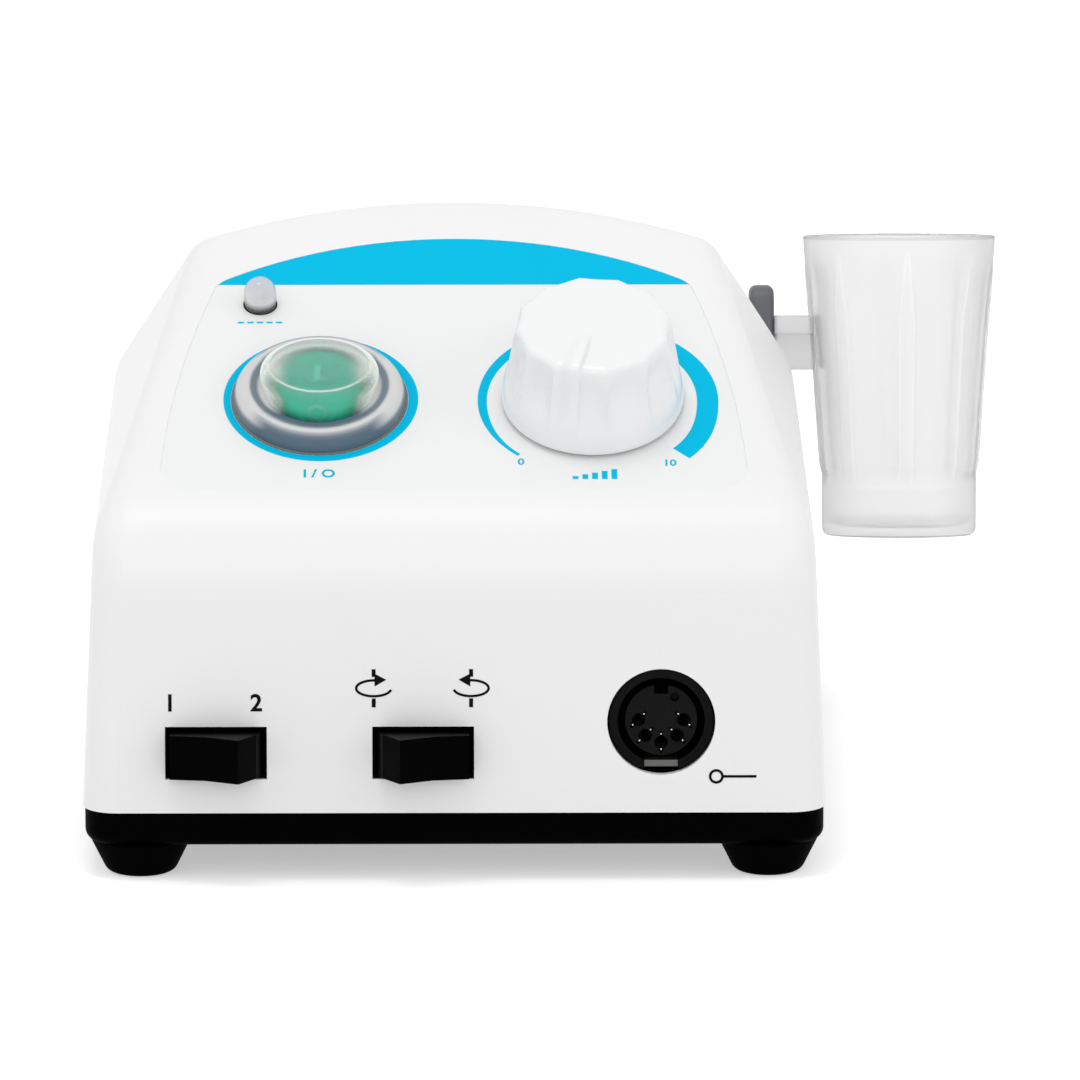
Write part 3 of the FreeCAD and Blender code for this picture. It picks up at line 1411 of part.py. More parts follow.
def cup_form(name):
    """Fluted tapering cup with a band at its rim, and the arm that hooks into the clip."""
    x = size("cup_x")
    top = size("cup_top")
    low = top - size("cup_height")
    rim = size("cup_radius")
    foot = size("cup_bottom_radius")
    band = size("cup_band")
    wall = size("cup_wall")
    outside = new_body("cup_outside")
    solid = turn(outside, draw(
        sketch_on(outside, "XZ_Plane", "cup_profile"),
        (0.0, low),
        (foot, low),
        (foot, low + band),
        (rim, top),
        (0.0, top)))
    round_edges(outside, solid, wall, lambda edge: near(edge.BoundBox.ZMax, low))
    cup_flutes(outside, low + band, top - size("cup_rim_band"))
    place(outside, holder_frame, x, 0.0, 0.0)
    inside = new_body("cup_inside")
    solid = turn(inside, draw(
        sketch_on(inside, "XZ_Plane", "cup_space"),
        (0.0, low + wall),
        (foot - wall, low + wall),
        (foot - wall, low + band),
        (rim - wall, top + 0.1),
        (0.0, top + 0.1)))
    round_edges(inside, solid, wall, lambda edge: near(edge.BoundBox.ZMax, low + wall))
    place(inside, holder_frame, x, 0.0, 0.0)
    clip_side = size("clip_x") + size("clip_width") / 2
    arm_length = x - clip_side - size("slip") - rim * 0.8
    arm_low = size("arm_top") - size("arm_height")
    arm = box("cup_arm", holder_frame, (clip_side + size("slip") + arm_length / 2, 0.0, arm_low + size("slip")),
              (arm_length, size("arm_width"), size("arm_height") - size("slip")))
    flange = box("arm_flange", holder_frame,
                 (clip_side + size("slip") + arm_length / 2, 0.0, size("arm_top") - size("arm_flange")),
                 (arm_length, size("arm_width") + 3.0, size("arm_flange")))
    tongue_length = size("tongue_depth") - size("slip")
    tongue = box("arm_tongue", holder_frame,
                 (clip_side + size("slip") - tongue_length / 2 + 0.5, 0.0, arm_low + size("slip")),
                 (tongue_length + 1.0, size("tongue_width") - size("slip") * 2, size("arm_height") - size("slip")))
    return node(name, cut("cup_solid", fuse("cup_fused", outside, arm, flange, tongue), inside))


upper_housing()
base_tray()
for side_name, foot_side in (("left", -1.0), ("right", 1.0)):
    rubber_foot("front_%s_foot" % side_name, size("foot_x") * foot_side, -foot_y)
    rubber_foot("rear_%s_foot" % side_name, size("foot_x") * foot_side, foot_y)
screws_below()
panel_overlay()
power_switch()
power_boot()
speed_knob()
speed_control()
warning_lamp()
control_board()
paddle_switch("hand_foot", size("left_switch_x"), 1.0)
paddle_switch("direction", size("right_switch_x"), -1.0)
motor_socket()
mains_inlet()
fuse_holder()
foot_jack()
transformer()
power_board()
holder()

doc.recompute()
for thing in doc.Objects:
    if {"Invalid", "Error"} & set(thing.State):
        raise RuntimeError("%s failed to build" % thing.Name)
for piece in nodes:
    if piece.Shape.isNull() or not piece.Shape.isValid() or piece.Shape.Volume <= 0.0:
        raise RuntimeError("%s has no sound shape" % piece.Label)
os.makedirs("parts", exist_ok=True)
for piece in nodes:
    piece.Shape.exportStep("parts/%s.step" % piece.Label)
    print("%-24s %2d solids %10.1f mm3" % (piece.Label, len(piece.Shape.Solids), piece.Shape.Volume))
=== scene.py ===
import math

import bmesh
import bpy
from mathutils import Matrix, Vector
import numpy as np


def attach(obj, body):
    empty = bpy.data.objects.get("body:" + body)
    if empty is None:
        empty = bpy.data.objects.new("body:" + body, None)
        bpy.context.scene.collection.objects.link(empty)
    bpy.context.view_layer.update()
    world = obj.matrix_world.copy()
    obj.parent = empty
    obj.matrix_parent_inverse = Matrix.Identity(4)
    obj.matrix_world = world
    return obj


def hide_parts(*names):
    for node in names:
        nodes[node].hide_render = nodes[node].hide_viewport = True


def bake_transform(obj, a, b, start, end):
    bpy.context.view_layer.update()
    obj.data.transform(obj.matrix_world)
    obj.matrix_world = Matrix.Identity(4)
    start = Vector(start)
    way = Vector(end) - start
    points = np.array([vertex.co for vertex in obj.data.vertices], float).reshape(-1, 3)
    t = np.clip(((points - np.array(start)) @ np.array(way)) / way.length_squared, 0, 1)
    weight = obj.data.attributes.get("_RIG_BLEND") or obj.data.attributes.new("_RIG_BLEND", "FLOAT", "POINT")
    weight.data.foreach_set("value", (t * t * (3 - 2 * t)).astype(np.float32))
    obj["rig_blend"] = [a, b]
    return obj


# Looks of a nail drill's control box: a white moulded housing on a black tray, with a printed
# panel, a green rocker under a clear boot, a white knob and a frosted cup beside it.
# The pieces are drawn in millimetres on the face that carries them, and placed in metres.

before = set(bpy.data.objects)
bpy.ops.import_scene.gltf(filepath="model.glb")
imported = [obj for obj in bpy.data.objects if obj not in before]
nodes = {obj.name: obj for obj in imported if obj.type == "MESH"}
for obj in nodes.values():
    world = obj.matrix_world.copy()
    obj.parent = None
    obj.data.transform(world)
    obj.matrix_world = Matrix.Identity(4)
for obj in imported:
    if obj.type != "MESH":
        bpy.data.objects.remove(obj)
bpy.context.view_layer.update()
MM = 0.001

# Sizes of the object, in millimetres and degrees
HALF_DEPTH = 66.0
SEAM = 11.0
NOSE_HEIGHT = 44.15
FRONT_DRAFT = 1.5
REAR_DRAFT = 2.0
PANEL_TILT = 26.8
HOLDER_TILT = -10.3
HOLDER_REACH = 6.5
HOLDER_LEVEL = 50.0

# Print: its thickness, and the levels it starts from on the panel's sheet and on the front
INK = 0.03
INK_GAP = 0.003
SHEET_PRINT = -0.1 + INK_GAP
FRONT_PRINT = 0.02
BAND_START = 61.05
RING_MIDDLE = (-20.7, 32.55)
RING_OUTER = 15.175
SCALE_MIDDLE = (21.8, 32.1)
SIGN_PITCH = 1.5

# Power key and its boot; the cap moves with the key above CAP_FREE, and the boot stands still below CAP_START
POWER = (-20.9, 32.55)
POWER_HOLE = 13.85
KEY_PIVOT = -1.5
KEY_TILT = -6.0
KEY_RADIUS = 7.7
KEY_MIDDLE = (POWER[0] - 0.3, POWER[1])
CAP_TILT = -7.5
CAP_START = 2.6
CAP_FREE = 4.5
CAP_RADIUS = 9.4

# Lamp, knob and handpiece socket; the ridges and the pointer are bearings round the knob
LAMP = (-30.4, 56.15)
KNOB = (21.6, 32.1)
KNOB_TURNS = 360
KNOB_TOP = 15.45
KNOB_HUB = [(3.0, 10.25), (3.0, 2.6), (5.4, 2.6), (5.4, 13.5), (10.2, 13.5), (12.4, 4.6), (12.4, 0.5)]
KNOB_RIDGES = (-30.0, 9.0, 40.0, 70.0, 100.0, 130.0, 160.0, 190.0, 220.0, 247.0, 275.0, 303.0, 330.0,
               369.0)
POINTER_TURN = -104.0
SOCKET = (31.9, 14.3)
SOCKET_FACE = -1.6
CONTACT_CIRCLE = 3.5

# Cup, in the millimetres of its holder; flute heights are over the cup's foot
CUP_X = 73.5
CUP_TOP = 22.9
CUP_HEIGHT = 49.4
CUP_FOOT = CUP_TOP - CUP_HEIGHT
CUP_WALL = 1.5
CUP_TURNS = 480
FLUTE_START = 8.4
FLUTE_END = 47.2
FLUTE_PITCH = 45.0
FLUTE_OFFSET = 3.0
CLIP_SIDE = 52.8
ARM_TOP = 9.65
ARM_LOW = 0.85
ARM_FLANGE = 2.9


# Faces of the body: x to the right, then along the face, then out of it
def face(y, z, angle):
    turned = Matrix.Rotation(math.radians(angle), 4, "X")
    return Matrix.Scale(MM, 4) @ Matrix.Translation((0.0, y, z)) @ turned


nose_y = -HALF_DEPTH + NOSE_HEIGHT * math.tan(math.radians(FRONT_DRAFT))
PANEL = face(nose_y, SEAM + NOSE_HEIGHT, PANEL_TILT)
FRONT = face(-HALF_DEPTH, SEAM, 90.0 - FRONT_DRAFT)
BACK = face(HALF_DEPTH, SEAM, REAR_DRAFT - 90.0)
HOLDER = face(HALF_DEPTH + HOLDER_REACH, HOLDER_LEVEL, HOLDER_TILT)
UNDER = face(0.0, 0.0, 180.0)


def tipped(angle):
    """Turn about the pin of the power key, in the panel's millimetres."""
    pin = Vector((*POWER, KEY_PIVOT))
    return Matrix.Translation(pin) @ Matrix.Rotation(math.radians(angle), 4, "X") @ Matrix.Translation(-pin)


KEY_PLACE = PANEL @ tipped(KEY_TILT)


def share_of(value, start, span):
    """How much of a span a value has passed, from 0 to 1."""
    return min(max((value - start) / span, 0.0), 1.0)


def eased(value, start, end):
    """0 to 1 between two values, without corners."""
    share = share_of(value, start, end - start)
    return share * share * (3.0 - 2.0 * share)


def along_keys(keys, value, soft=False):
    """Result at a value between keys, each a value and its result; soft leaves no corners at the keys."""
    for (first, low), (last, high) in zip(keys, keys[1:]):
        if value <= last:
            share = (value - first) / (last - first)
            return low + (high - low) * (eased(share, 0.0, 1.0) if soft else share)
    return keys[-1][1]


# Materials
def new_material(name):
    made = bpy.data.materials.new(name)
    made.use_nodes = True
    tree = made.node_tree
    return made, tree, tree.nodes["Principled BSDF"]


def grey_of(value):
    return (value, value, value)


def noise(tree, scale, detail=3.0):
    """Fine-grained noise in the object's own space; scale counts grains in a metre."""
    place = tree.nodes.new("ShaderNodeTexCoord")
    made = tree.nodes.new("ShaderNodeTexNoise")
    made.inputs["Scale"].default_value = scale
    made.inputs["Detail"].default_value = detail
    tree.links.new(place.outputs["Object"], made.inputs["Vector"])
    return made.outputs["Fac"]


def ramp(tree, factor, low, high, start=0.35, end=0.65):
    made = tree.nodes.new("ShaderNodeValToRGB")
    made.color_ramp.elements[0].position = start
    made.color_ramp.elements[0].color = (*low, 1.0)
    made.color_ramp.elements[1].position = end
    made.color_ramp.elements[1].color = (*high, 1.0)
    tree.links.new(factor, made.inputs["Fac"])
    return made.outputs["Color"]


def between(tree, factor, low, high):
    made = tree.nodes.new("ShaderNodeMapRange")
    made.inputs["To Min"].default_value = low
    made.inputs["To Max"].default_value = high
    tree.links.new(factor, made.inputs["Value"])
    return made.outputs["Result"]


def calculated(tree, kind, first, second, clamp=False):
    """Two values, or sockets, put together by a sum, a product or the like."""
    made = tree.nodes.new("ShaderNodeMath")
    made.operation = kind
    made.use_clamp = clamp
    for place, value in enumerate((first, second)):
        if isinstance(value, float):
            made.inputs[place].default_value = value
        else:
            tree.links.new(value, made.inputs[place])
    return made.outputs[0]


def grazing(tree, start, end, most=1.0, kind="LINEAR"):
    """0 where the surface faces the eye, rising to most towards its grazing edges."""
    facing = tree.nodes.new("ShaderNodeLayerWeight")
    facing.inputs["Blend"].default_value = 0.5
    made = tree.nodes.new("ShaderNodeMapRange")
    made.interpolation_type = kind
    made.inputs["From Min"].default_value = start
    made.inputs["From Max"].default_value = end
    made.inputs["To Max"].default_value = most
    tree.links.new(facing.outputs["Facing"], made.inputs["Value"])
    return made.outputs["Result"]


def tinted(tree, factor, colour, far):
    """A colour that turns into a fixed one as the factor grows."""
    made = tree.nodes.new("ShaderNodeMix")
    made.data_type = "RGBA"
    made.inputs["B"].default_value = (*far, 1.0)
    tree.links.new(factor, made.inputs["Factor"])
    tree.links.new(colour, made.inputs["A"])
    return made.outputs["Result"]


def given_haze_and_painted_light(tree):
    """The milkiness and painted light that the mesh carries at each of its points."""
    made = tree.nodes.new("ShaderNodeAttribute")
    made.attribute_name = "haze_and_painted_light"
    return made.outputs["Fac"]


def bump(tree, shader, height, depth):
    made = tree.nodes.new("ShaderNodeBump")
    made.inputs["Strength"].default_value = 1.0
    made.inputs["Distance"].default_value = depth * MM
    tree.links.new(height, made.inputs["Height"])
    tree.links.new(made.outputs["Normal"], shader.inputs["Normal"])


def moulded(name, colour, spread, roughness, grain, depth, **sockets):
    """Moulded plastic or rubber: slight cloudiness, uneven gloss and a fine grain."""
    made, tree, shader = new_material(name)
    cloud = noise(tree, 25.0)
    fine = noise(tree, grain, 2.0)
    dark = tuple(part * (1.0 - spread) for part in colour)
    tree.links.new(ramp(tree, cloud, dark, colour), shader.inputs["Base Color"])
    tree.links.new(between(tree, fine, roughness * 0.85, roughness * 1.15), shader.inputs["Roughness"])
    bump(tree, shader, fine, depth)
    for socket, value in sockets.items():
        shader.inputs[socket.replace("_", " ").title().replace("Ior", "IOR")].default_value = value
    return made


def metal(name, colour, roughness, grain=900.0, stretch=(1.0, 1.0, 1.0)):
    """Plated or turned metal with fine marks drawn out along one way."""
    made, tree, shader = new_material(name)
    place = tree.nodes.new("ShaderNodeTexCoord")
    scale = tree.nodes.new("ShaderNodeMapping")
    scale.inputs["Scale"].default_value = stretch
    marks = tree.nodes.new("ShaderNodeTexNoise")
    marks.inputs["Scale"].default_value = grain
    tree.links.new(place.outputs["Object"], scale.inputs["Vector"])
    tree.links.new(scale.outputs["Vector"], marks.inputs["Vector"])
    worn = tuple(part * 0.85 for part in colour)
    tree.links.new(ramp(tree, marks.outputs["Fac"], worn, colour), shader.inputs["Base Color"])
    tree.links.new(between(tree, marks.outputs["Fac"], roughness * 0.7, roughness * 1.3),
                   shader.inputs["Roughness"])
    bump(tree, shader, marks.outputs["Fac"], 0.01)
    shader.inputs["Metallic"].default_value = 1.0
    return made


def clear_glass(name, colour, roughness, clear, depth):
    made, tree, shader = new_material(name)
    fine = noise(tree, 900.0, 4.0)
    dull = tuple(part * 0.94 for part in colour)
    tree.links.new(ramp(tree, noise(tree, 60.0), dull, colour), shader.inputs["Base Color"])
    tree.links.new(between(tree, fine, roughness * 0.85, roughness * 1.15), shader.inputs["Roughness"])
    bump(tree, shader, fine, depth)
    shader.inputs["Transmission Weight"].default_value = clear
    shader.inputs["IOR"].default_value = 1.33
    return made


def milky(name, tint, haze_and_painted_light, roughness, most_clear, edge, edge_painted_sheen):
    """Clear silicone that is milky where the mesh's own milkiness and painted light say so, and towards its
    grazing edges, where the milkiness is a painted sheen.
    """
    made, tree, shader = new_material(name)
    given = given_haze_and_painted_light(tree)
    speckle = noise(tree, 2600.0, 4.0)
    speckled = calculated(tree, "MULTIPLY", given, between(tree, speckle, 0.5, 1.5))
    # Painted sheen: the grazing edges turn milky.
    outline = grazing(tree, *edge, most=edge_painted_sheen, kind="SMOOTHSTEP")
    total = calculated(tree, "ADD", speckled, outline, clamp=True)
    tree.links.new(between(tree, total, most_clear, 0.0), shader.inputs["Transmission Weight"])
    tree.links.new(ramp(tree, given, tint, haze_and_painted_light, 0.1, 0.8), shader.inputs["Base Color"])
    tree.links.new(between(tree, speckle, roughness * 0.8, roughness * 1.2), shader.inputs["Roughness"])
    bump(tree, shader, speckle, 0.0015)
    shader.inputs["IOR"].default_value = 1.14
    shader.inputs["Specular IOR Level"].default_value = 0.25
    return made


def key_green():
    """Translucent green plastic: light and saturated at its side, where the lighter colour is painted light
    for the shade under the boot, duller on its top.
    """
    made, tree, shader = new_material("green_rocker")
    # The side's lighter green is painted light.
    side, top = (0.0, 0.58, 0.37), (0.0, 0.38, 0.26)
    tree.links.new(ramp(tree, above_panel(tree, 2.0, 5.2), side, top, 0.3, 0.95), shader.inputs["Base Color"])
    tree.links.new(between(tree, noise(tree, 1000.0), 0.35, 0.5), shader.inputs["Roughness"])
    shader.inputs["Specular IOR Level"].default_value = 0.05
    return made


def smoky(name, thick, thin, most_clear, painted_edge_shade, roughness):
    """Frosted plastic: whiter where its mesh carries painted highlights, greyer towards its grazing edges as
    painted shade.
    """
    made, tree, shader = new_material(name)
    given = given_haze_and_painted_light(tree)
    # Painted highlight: the marked ridge edges take the whiter colour.
    body = ramp(tree, given, thin, thick, 0.0, 1.0)
    # Painted shade: the grazing edges turn grey.
    tree.links.new(tinted(tree, grazing(tree, 0.10, 0.85), body, painted_edge_shade), shader.inputs["Base Color"])
    tree.links.new(between(tree, given, most_clear, most_clear * 0.45), shader.inputs["Transmission Weight"])
    speckle = noise(tree, 1400.0, 4.0)
    tree.links.new(between(tree, speckle, roughness * 0.85, roughness * 1.15), shader.inputs["Roughness"])
    bump(tree, shader, speckle, 0.012)
    shader.inputs["IOR"].default_value = 1.14
    shader.inputs["Specular IOR Level"].default_value = 0.35
    return made


def above_panel(tree, low, high):
    """0 to 1 between two heights over the panel, in millimetres."""
    place = tree.nodes.new("ShaderNodeTexCoord")
    out = PANEL.to_3x3() @ Vector((0.0, 0.0, 1.0))
    out.normalize()
    height = tree.nodes.new("ShaderNodeVectorMath")
    height.operation = "DOT_PRODUCT"
    height.inputs[1].default_value = out
    tree.links.new(place.outputs["Object"], height.inputs[0])
    start = (PANEL @ Vector((0.0, 0.0, low))).dot(out)
    share = tree.nodes.new("ShaderNodeMapRange")
    share.inputs["From Min"].default_value = start
    share.inputs["From Max"].default_value = start + (high - low) * MM
    tree.links.new(height.outputs["Value"], share.inputs["Value"])
    return share.outputs["Result"]


def lamp_plastic():
    """Clear moulded lamp: cloudy, bluer in its dome, dark blue-grey at its grazing edges as painted shade, and
    clear at its foot, where the dark inside shows.
    """
    made, tree, shader = new_material("lamp_lens")
    body, dome, outline = (1.0, 1.0, 1.0), (0.58, 0.65, 0.79), (0.26, 0.29, 0.36)
    cloudy = ramp(tree, above_panel(tree, 0.5, 6.5), body, dome, 0.35, 0.9)
    # Painted shade: the grazing edges of the lens turn dark blue-grey.
    tree.links.new(tinted(tree, grazing(tree, 0.55, 1.0), cloudy, outline), shader.inputs["Base Color"])
    clear = between(tree, above_panel(tree, 0.5, 1.7), 0.95, 0.25)
    tree.links.new(clear, shader.inputs["Transmission Weight"])
    tree.links.new(between(tree, noise(tree, 500.0), 0.03, 0.09), shader.inputs["Roughness"])
    shader.inputs["IOR"].default_value = 1.5
    return made


# Name, colour, how much the colour varies, roughness, grains in a metre and their depth in millimetres
white = moulded("white_housing", grey_of(0.87), 0.01, 0.34, 1500.0, 0.004, specular_ior_level=0.3)
knob_white = moulded("white_knob", (0.87, 0.875, 0.88), 0.01, 0.18, 900.0, 0.003, specular_ior_level=0.4)
sheet_white = moulded("panel_sheet", (0.85, 0.855, 0.855), 0.01, 0.42, 2600.0, 0.006, specular_ior_level=0.3)
cyan_ink = moulded("cyan_ink", (0.0, 0.51, 0.79), 0.03, 0.60, 2600.0, 0.004, specular_ior_level=0.04)
black_ink = moulded("black_ink", grey_of(0.004), 0.2, 0.60, 2600.0, 0.004, specular_ior_level=0.05)
tray_black = moulded("black_tray", grey_of(0.0004), 0.2, 0.50, 1400.0, 0.02, specular_ior_level=0.01)
rubber = moulded("black_rubber", grey_of(0.0004), 0.25, 0.65, 700.0, 0.03, specular_ior_level=0.01)
switch_black = moulded("black_plastic", grey_of(0.0004), 0.2, 0.30, 1800.0, 0.006, specular_ior_level=0.014)
socket_black = moulded("socket_insert", grey_of(0.0065), 0.2, 0.45, 1600.0, 0.02, specular_ior_level=0.05)
ring_black = moulded("socket_ring", grey_of(0.0025), 0.25, 0.30, 1600.0, 0.01, specular_ior_level=0.06)
green = key_green()
mark_green = moulded("key_marks", (0.07, 0.56, 0.39), 0.06, 0.40, 1000.0, 0.01, specular_ior_level=0.1)
# Dark lip and underside of the boot: painted shade under the skirt.
lip_painted_shade = moulded("boot_lip_painted_shade", (0.17, 0.16, 0.14), 0.2, 0.45, 1200.0, 0.01)
grey = moulded("grey_plastic", (0.125, 0.13, 0.14), 0.08, 0.42, 1200.0, 0.02)
board_green = moulded("green_board", (0.01, 0.11, 0.04), 0.25, 0.35, 1500.0, 0.02, coat_weight=0.4)
core_steel = moulded("core_steel", (0.06, 0.06, 0.065), 0.3, 0.5, 800.0, 0.03)
coil_tape = moulded("coil_tape", (0.55, 0.40, 0.07), 0.15, 0.45, 500.0, 0.03)
epoxy = moulded("black_epoxy", grey_of(0.012), 0.2, 0.55, 1500.0, 0.02)
can_blue = moulded("capacitor_can", (0.012, 0.02, 0.08), 0.15, 0.3, 1200.0, 0.01)

# Name, colour, roughness, grains in a metre and how they are drawn out along x, y and z
plated = metal("bright_metal", (0.62, 0.62, 0.64), 0.22)
turned = metal("spindle_metal", (0.60, 0.60, 0.61), 0.30, 1200.0, (1.0, 1.0, 6.0))
# Nearly black contacts: painted shade inside the contact holes.
contact_metal = metal("contact_metal", grey_of(0.004), 0.40)
tab_metal = metal("socket_tab_metal", (0.135, 0.135, 0.13), 0.50, 900.0, (1.0, 6.0, 6.0))
# The lamp post's dark colour is partly painted shade.
lamp_dark = metal("lamp_post_metal_and_painted_shade", (0.035, 0.034, 0.033), 0.35)
stamped = metal("control_metal", (0.50, 0.50, 0.51), 0.40, 600.0, (5.0, 1.0, 1.0))
steel = metal("screw_steel", (0.50, 0.50, 0.52), 0.35)
sink_metal = metal("sink_metal", (0.52, 0.52, 0.54), 0.38, 700.0, (1.0, 1.0, 8.0))

# Name, clear and hazy colour, roughness, most clearness, where the grazing edge turns milky as painted sheen
# and how much
boot_tint = (0.90, 0.98, 0.95)
silicone = milky("clear_silicone", boot_tint, (0.78, 0.82, 0.76), 0.22, 0.98, (0.36, 0.80), 0.90)
top_silicone = milky("cap_top_silicone", boot_tint, (0.70, 0.75, 0.69), 0.30, 0.98, (0.55, 0.95), 0.80)
thick_silicone = milky("thick_silicone", (0.13, 0.19, 0.245), grey_of(0.68), 0.30, 0.15, (0.55, 0.95), 0.5)

# Name, colour under painted highlights and elsewhere, most clearness, painted shade of the grazing edges and
# roughness
cup_plastic = smoky("frosted_cup", grey_of(1.0), (0.88, 0.88, 0.885), 0.70, (0.76, 0.76, 0.765), 0.32)
cup_inside = smoky("cup_inside", grey_of(1.0), grey_of(0.99), 1.0, grey_of(0.95), 0.25)
cup_edge = smoky("cup_edge", (0.80, 0.80, 0.81), (0.76, 0.76, 0.77), 0.45, (0.60, 0.60, 0.61), 0.40)
arm_plastic = smoky("cup_arm_plastic", grey_of(0.90), grey_of(0.84), 0.55, (0.68, 0.68, 0.685), 0.40)
lens_clear = lamp_plastic()
fuse_clear = clear_glass("fuse_glass", (0.95, 0.96, 0.96), 0.04, 0.95, 0.001)

FINISHES = {
    white: ["upper_housing"],
    sheet_white: ["panel_overlay"],
    knob_white: ["speed_knob"],
    tray_black: ["base_tray"],
    rubber: ["front_left_foot", "front_right_foot", "rear_left_foot", "rear_right_foot"],
    switch_black: ["power_switch_body", "hand_foot_switch_body", "hand_foot_rocker",
                   "direction_switch_body", "direction_rocker", "motor_socket_shell", "mains_inlet",
                   "fuse_holder", "fuse_holder_nut", "fuse_cap", "foot_control_jack", "lamp_spacer"],
    socket_black: ["motor_socket_insert"],
    green: ["power_rocker"],
    lens_clear: ["warning_lamp"],
    fuse_clear: ["glass_fuse"],
    grey: ["holder_bracket"],
    plated: ["mains_inlet_pins", "foot_control_nut", "speed_control_nut", "speed_control_washer",
             "lamp_leads"],
    contact_metal: ["motor_socket_contacts"],
    tab_metal: ["motor_socket_tab"],
    turned: ["speed_spindle"],
    stamped: ["speed_control_body", "transformer_strap"],
    steel: ["foot_screws", "housing_screws", "board_screws", "transformer_screws",
            "mains_inlet_screws", "bracket_screws"],
    board_green: ["control_board", "power_board"],
    core_steel: ["transformer_core"],
    coil_tape: ["transformer_coil"],
    can_blue: ["smoothing_capacitor"],
    epoxy: ["bridge_rectifier", "power_transistor"],
    sink_metal: ["heat_sink"],
}

for material, names in FINISHES.items():
    for name in names:
        nodes[name].data.materials.clear()
        nodes[name].data.materials.append(material)


# Building pieces
def as_mesh(name, made):
    mesh = bpy.data.meshes.new(name)
    made.to_mesh(mesh)
    made.free()
    return mesh


def join(made, part):
    """Put one bmesh into another."""
    kept = as_mesh("part", part)
    made.from_mesh(kept)
    bpy.data.meshes.remove(kept)


def add_piece(name, made, place, material, body="housing", smooth=False):
    """Turn a bmesh in face millimetres into an object that rides on a body."""
    made.transform(place)
    bmesh.ops.recalc_face_normals(made, faces=made.faces)
    mesh = as_mesh(name, made)
    mesh.materials.append(material)
    if smooth:
        mesh.shade_smooth()
        mesh.set_sharp_from_angle(angle=math.radians(35.0))
    piece = bpy.data.objects.new(name, mesh)
    bpy.context.scene.collection.objects.link(piece)
    if body:
        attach(piece, body)
    return piece


def thicken(made, out):
    """Give flat faces the thickness of ink, standing up from their own level."""
    grown = bmesh.ops.extrude_face_region(made, geom=list(made.faces))
    moved = [item for item in grown["geom"] if isinstance(item, bmesh.types.BMVert)]
    bmesh.ops.translate(made, verts=moved, vec=(0.0, 0.0, out))


def ribbon(made, inner, outer, level, closed=False):
    """Flat strip between two lines of points."""
    low = [made.verts.new((x, along, level)) for x, along in inner]
    high = [made.verts.new((x, along, level)) for x, along in outer]
    count = len(low) if closed else len(low) - 1
    for index in range(count):
        following = (index + 1) % len(low)
        made.faces.new((low[index], low[following], high[following], high[index]))


def ring_points(middle, radius, count=96):
    turns = [2.0 * math.pi * step / count for step in range(count)]
    return [(middle[0] + radius * math.cos(turn), middle[1] + radius * math.sin(turn)) for turn in turns]


def stroke(made, points, width, level):
    """Flat line of one width along the points."""
    left = []
    right = []
    for index, (x, along) in enumerate(points):
        before = points[max(index - 1, 0)]
        after = points[min(index + 1, len(points) - 1)]
        way = Vector((after[0] - before[0], after[1] - before[1])).normalized()
        left.append((x - way.y * width / 2, along + way.x * width / 2))
        right.append((x + way.y * width / 2, along - way.x * width / 2))
    ribbon(made, left, right, level)


ON_PANEL = {"face": PANEL, "level": SHEET_PRINT, "ink": cyan_ink, "slot": "panel_print"}
ON_FRONT = {"face": FRONT, "level": FRONT_PRINT, "ink": black_ink, "slot": "black_plastic"}


def add_print(name, made, carrier):
    """Give flat shapes the thickness and colour of the ink on the panel or the front."""
    thicken(made, INK)
    add_piece(name, made, carrier["face"], carrier["ink"])


def figures(name, text, carrier, middle, height):
    """Plain printed figures, centred on a place of the panel or the front."""
    curve = bpy.data.curves.new(name + "_figures", "FONT")
    curve.body = text
    curve.align_x = "CENTER"
    curve.align_y = "CENTER"
    figure_share, extra_weight = 0.72, 0.03
    curve.size = height / figure_share
    curve.offset = height * extra_weight
    source = bpy.data.objects.new(name + "_source", curve)
    bpy.context.scene.collection.objects.link(source)
    bpy.context.view_layer.update()
    flat = bpy.data.meshes.new_from_object(source.evaluated_get(bpy.context.evaluated_depsgraph_get()))
    bpy.data.objects.remove(source)
    made = bmesh.new()
    made.from_mesh(flat)
    bmesh.ops.translate(made, verts=made.verts, vec=(*middle, carrier["level"]))
    add_print(name, made, carrier)


# Print on the panel
def sheet_edge():
    """Points along the sheet's arched top edge, above the start of the band, and their level."""
    sheet = bmesh.new()
    sheet.from_mesh(nodes["panel_overlay"].data)
    sheet.transform(PANEL.inverted())
    everything = list(sheet.verts) + list(sheet.edges) + list(sheet.faces)
    bmesh.ops.bisect_plane(sheet, geom=everything, plane_co=(0.0, BAND_START, 0.0),
                           plane_no=(0.0, 1.0, 0.0), clear_inner=True)
    level = max(vert.co.z for vert in sheet.verts)
    places = {(round(vert.co.x, 3), round(vert.co.y, 3)) for vert in sheet.verts if vert.co.z > level - 0.01}
    sheet.free()
    upper = sorted(places)
    arch = [(x, along) for x, along in upper if along > BAND_START + 0.05]
    return [upper[0]] + arch + [upper[-1]], level


def printed_band():
    """The arched top of the sheet, inked from its lower edge upwards."""
    arch, level = sheet_edge()
    narrowest = 0.001
    made = bmesh.new()
    for (x, along), (next_x, next_along) in zip(arch, arch[1:]):
        corners = [(x, BAND_START), (next_x, BAND_START), (next_x, next_along), (x, along)]
        found = list(dict.fromkeys((round(at_x, 3), round(at, 3)) for at_x, at in corners))
        if len(found) > 2 and next_x - x > narrowest:
            made.faces.new([made.verts.new((at_x, at, level + INK_GAP)) for at_x, at in found])
    bmesh.ops.remove_doubles(made, verts=made.verts, dist=narrowest)
    add_print("printed_band", made, ON_PANEL)


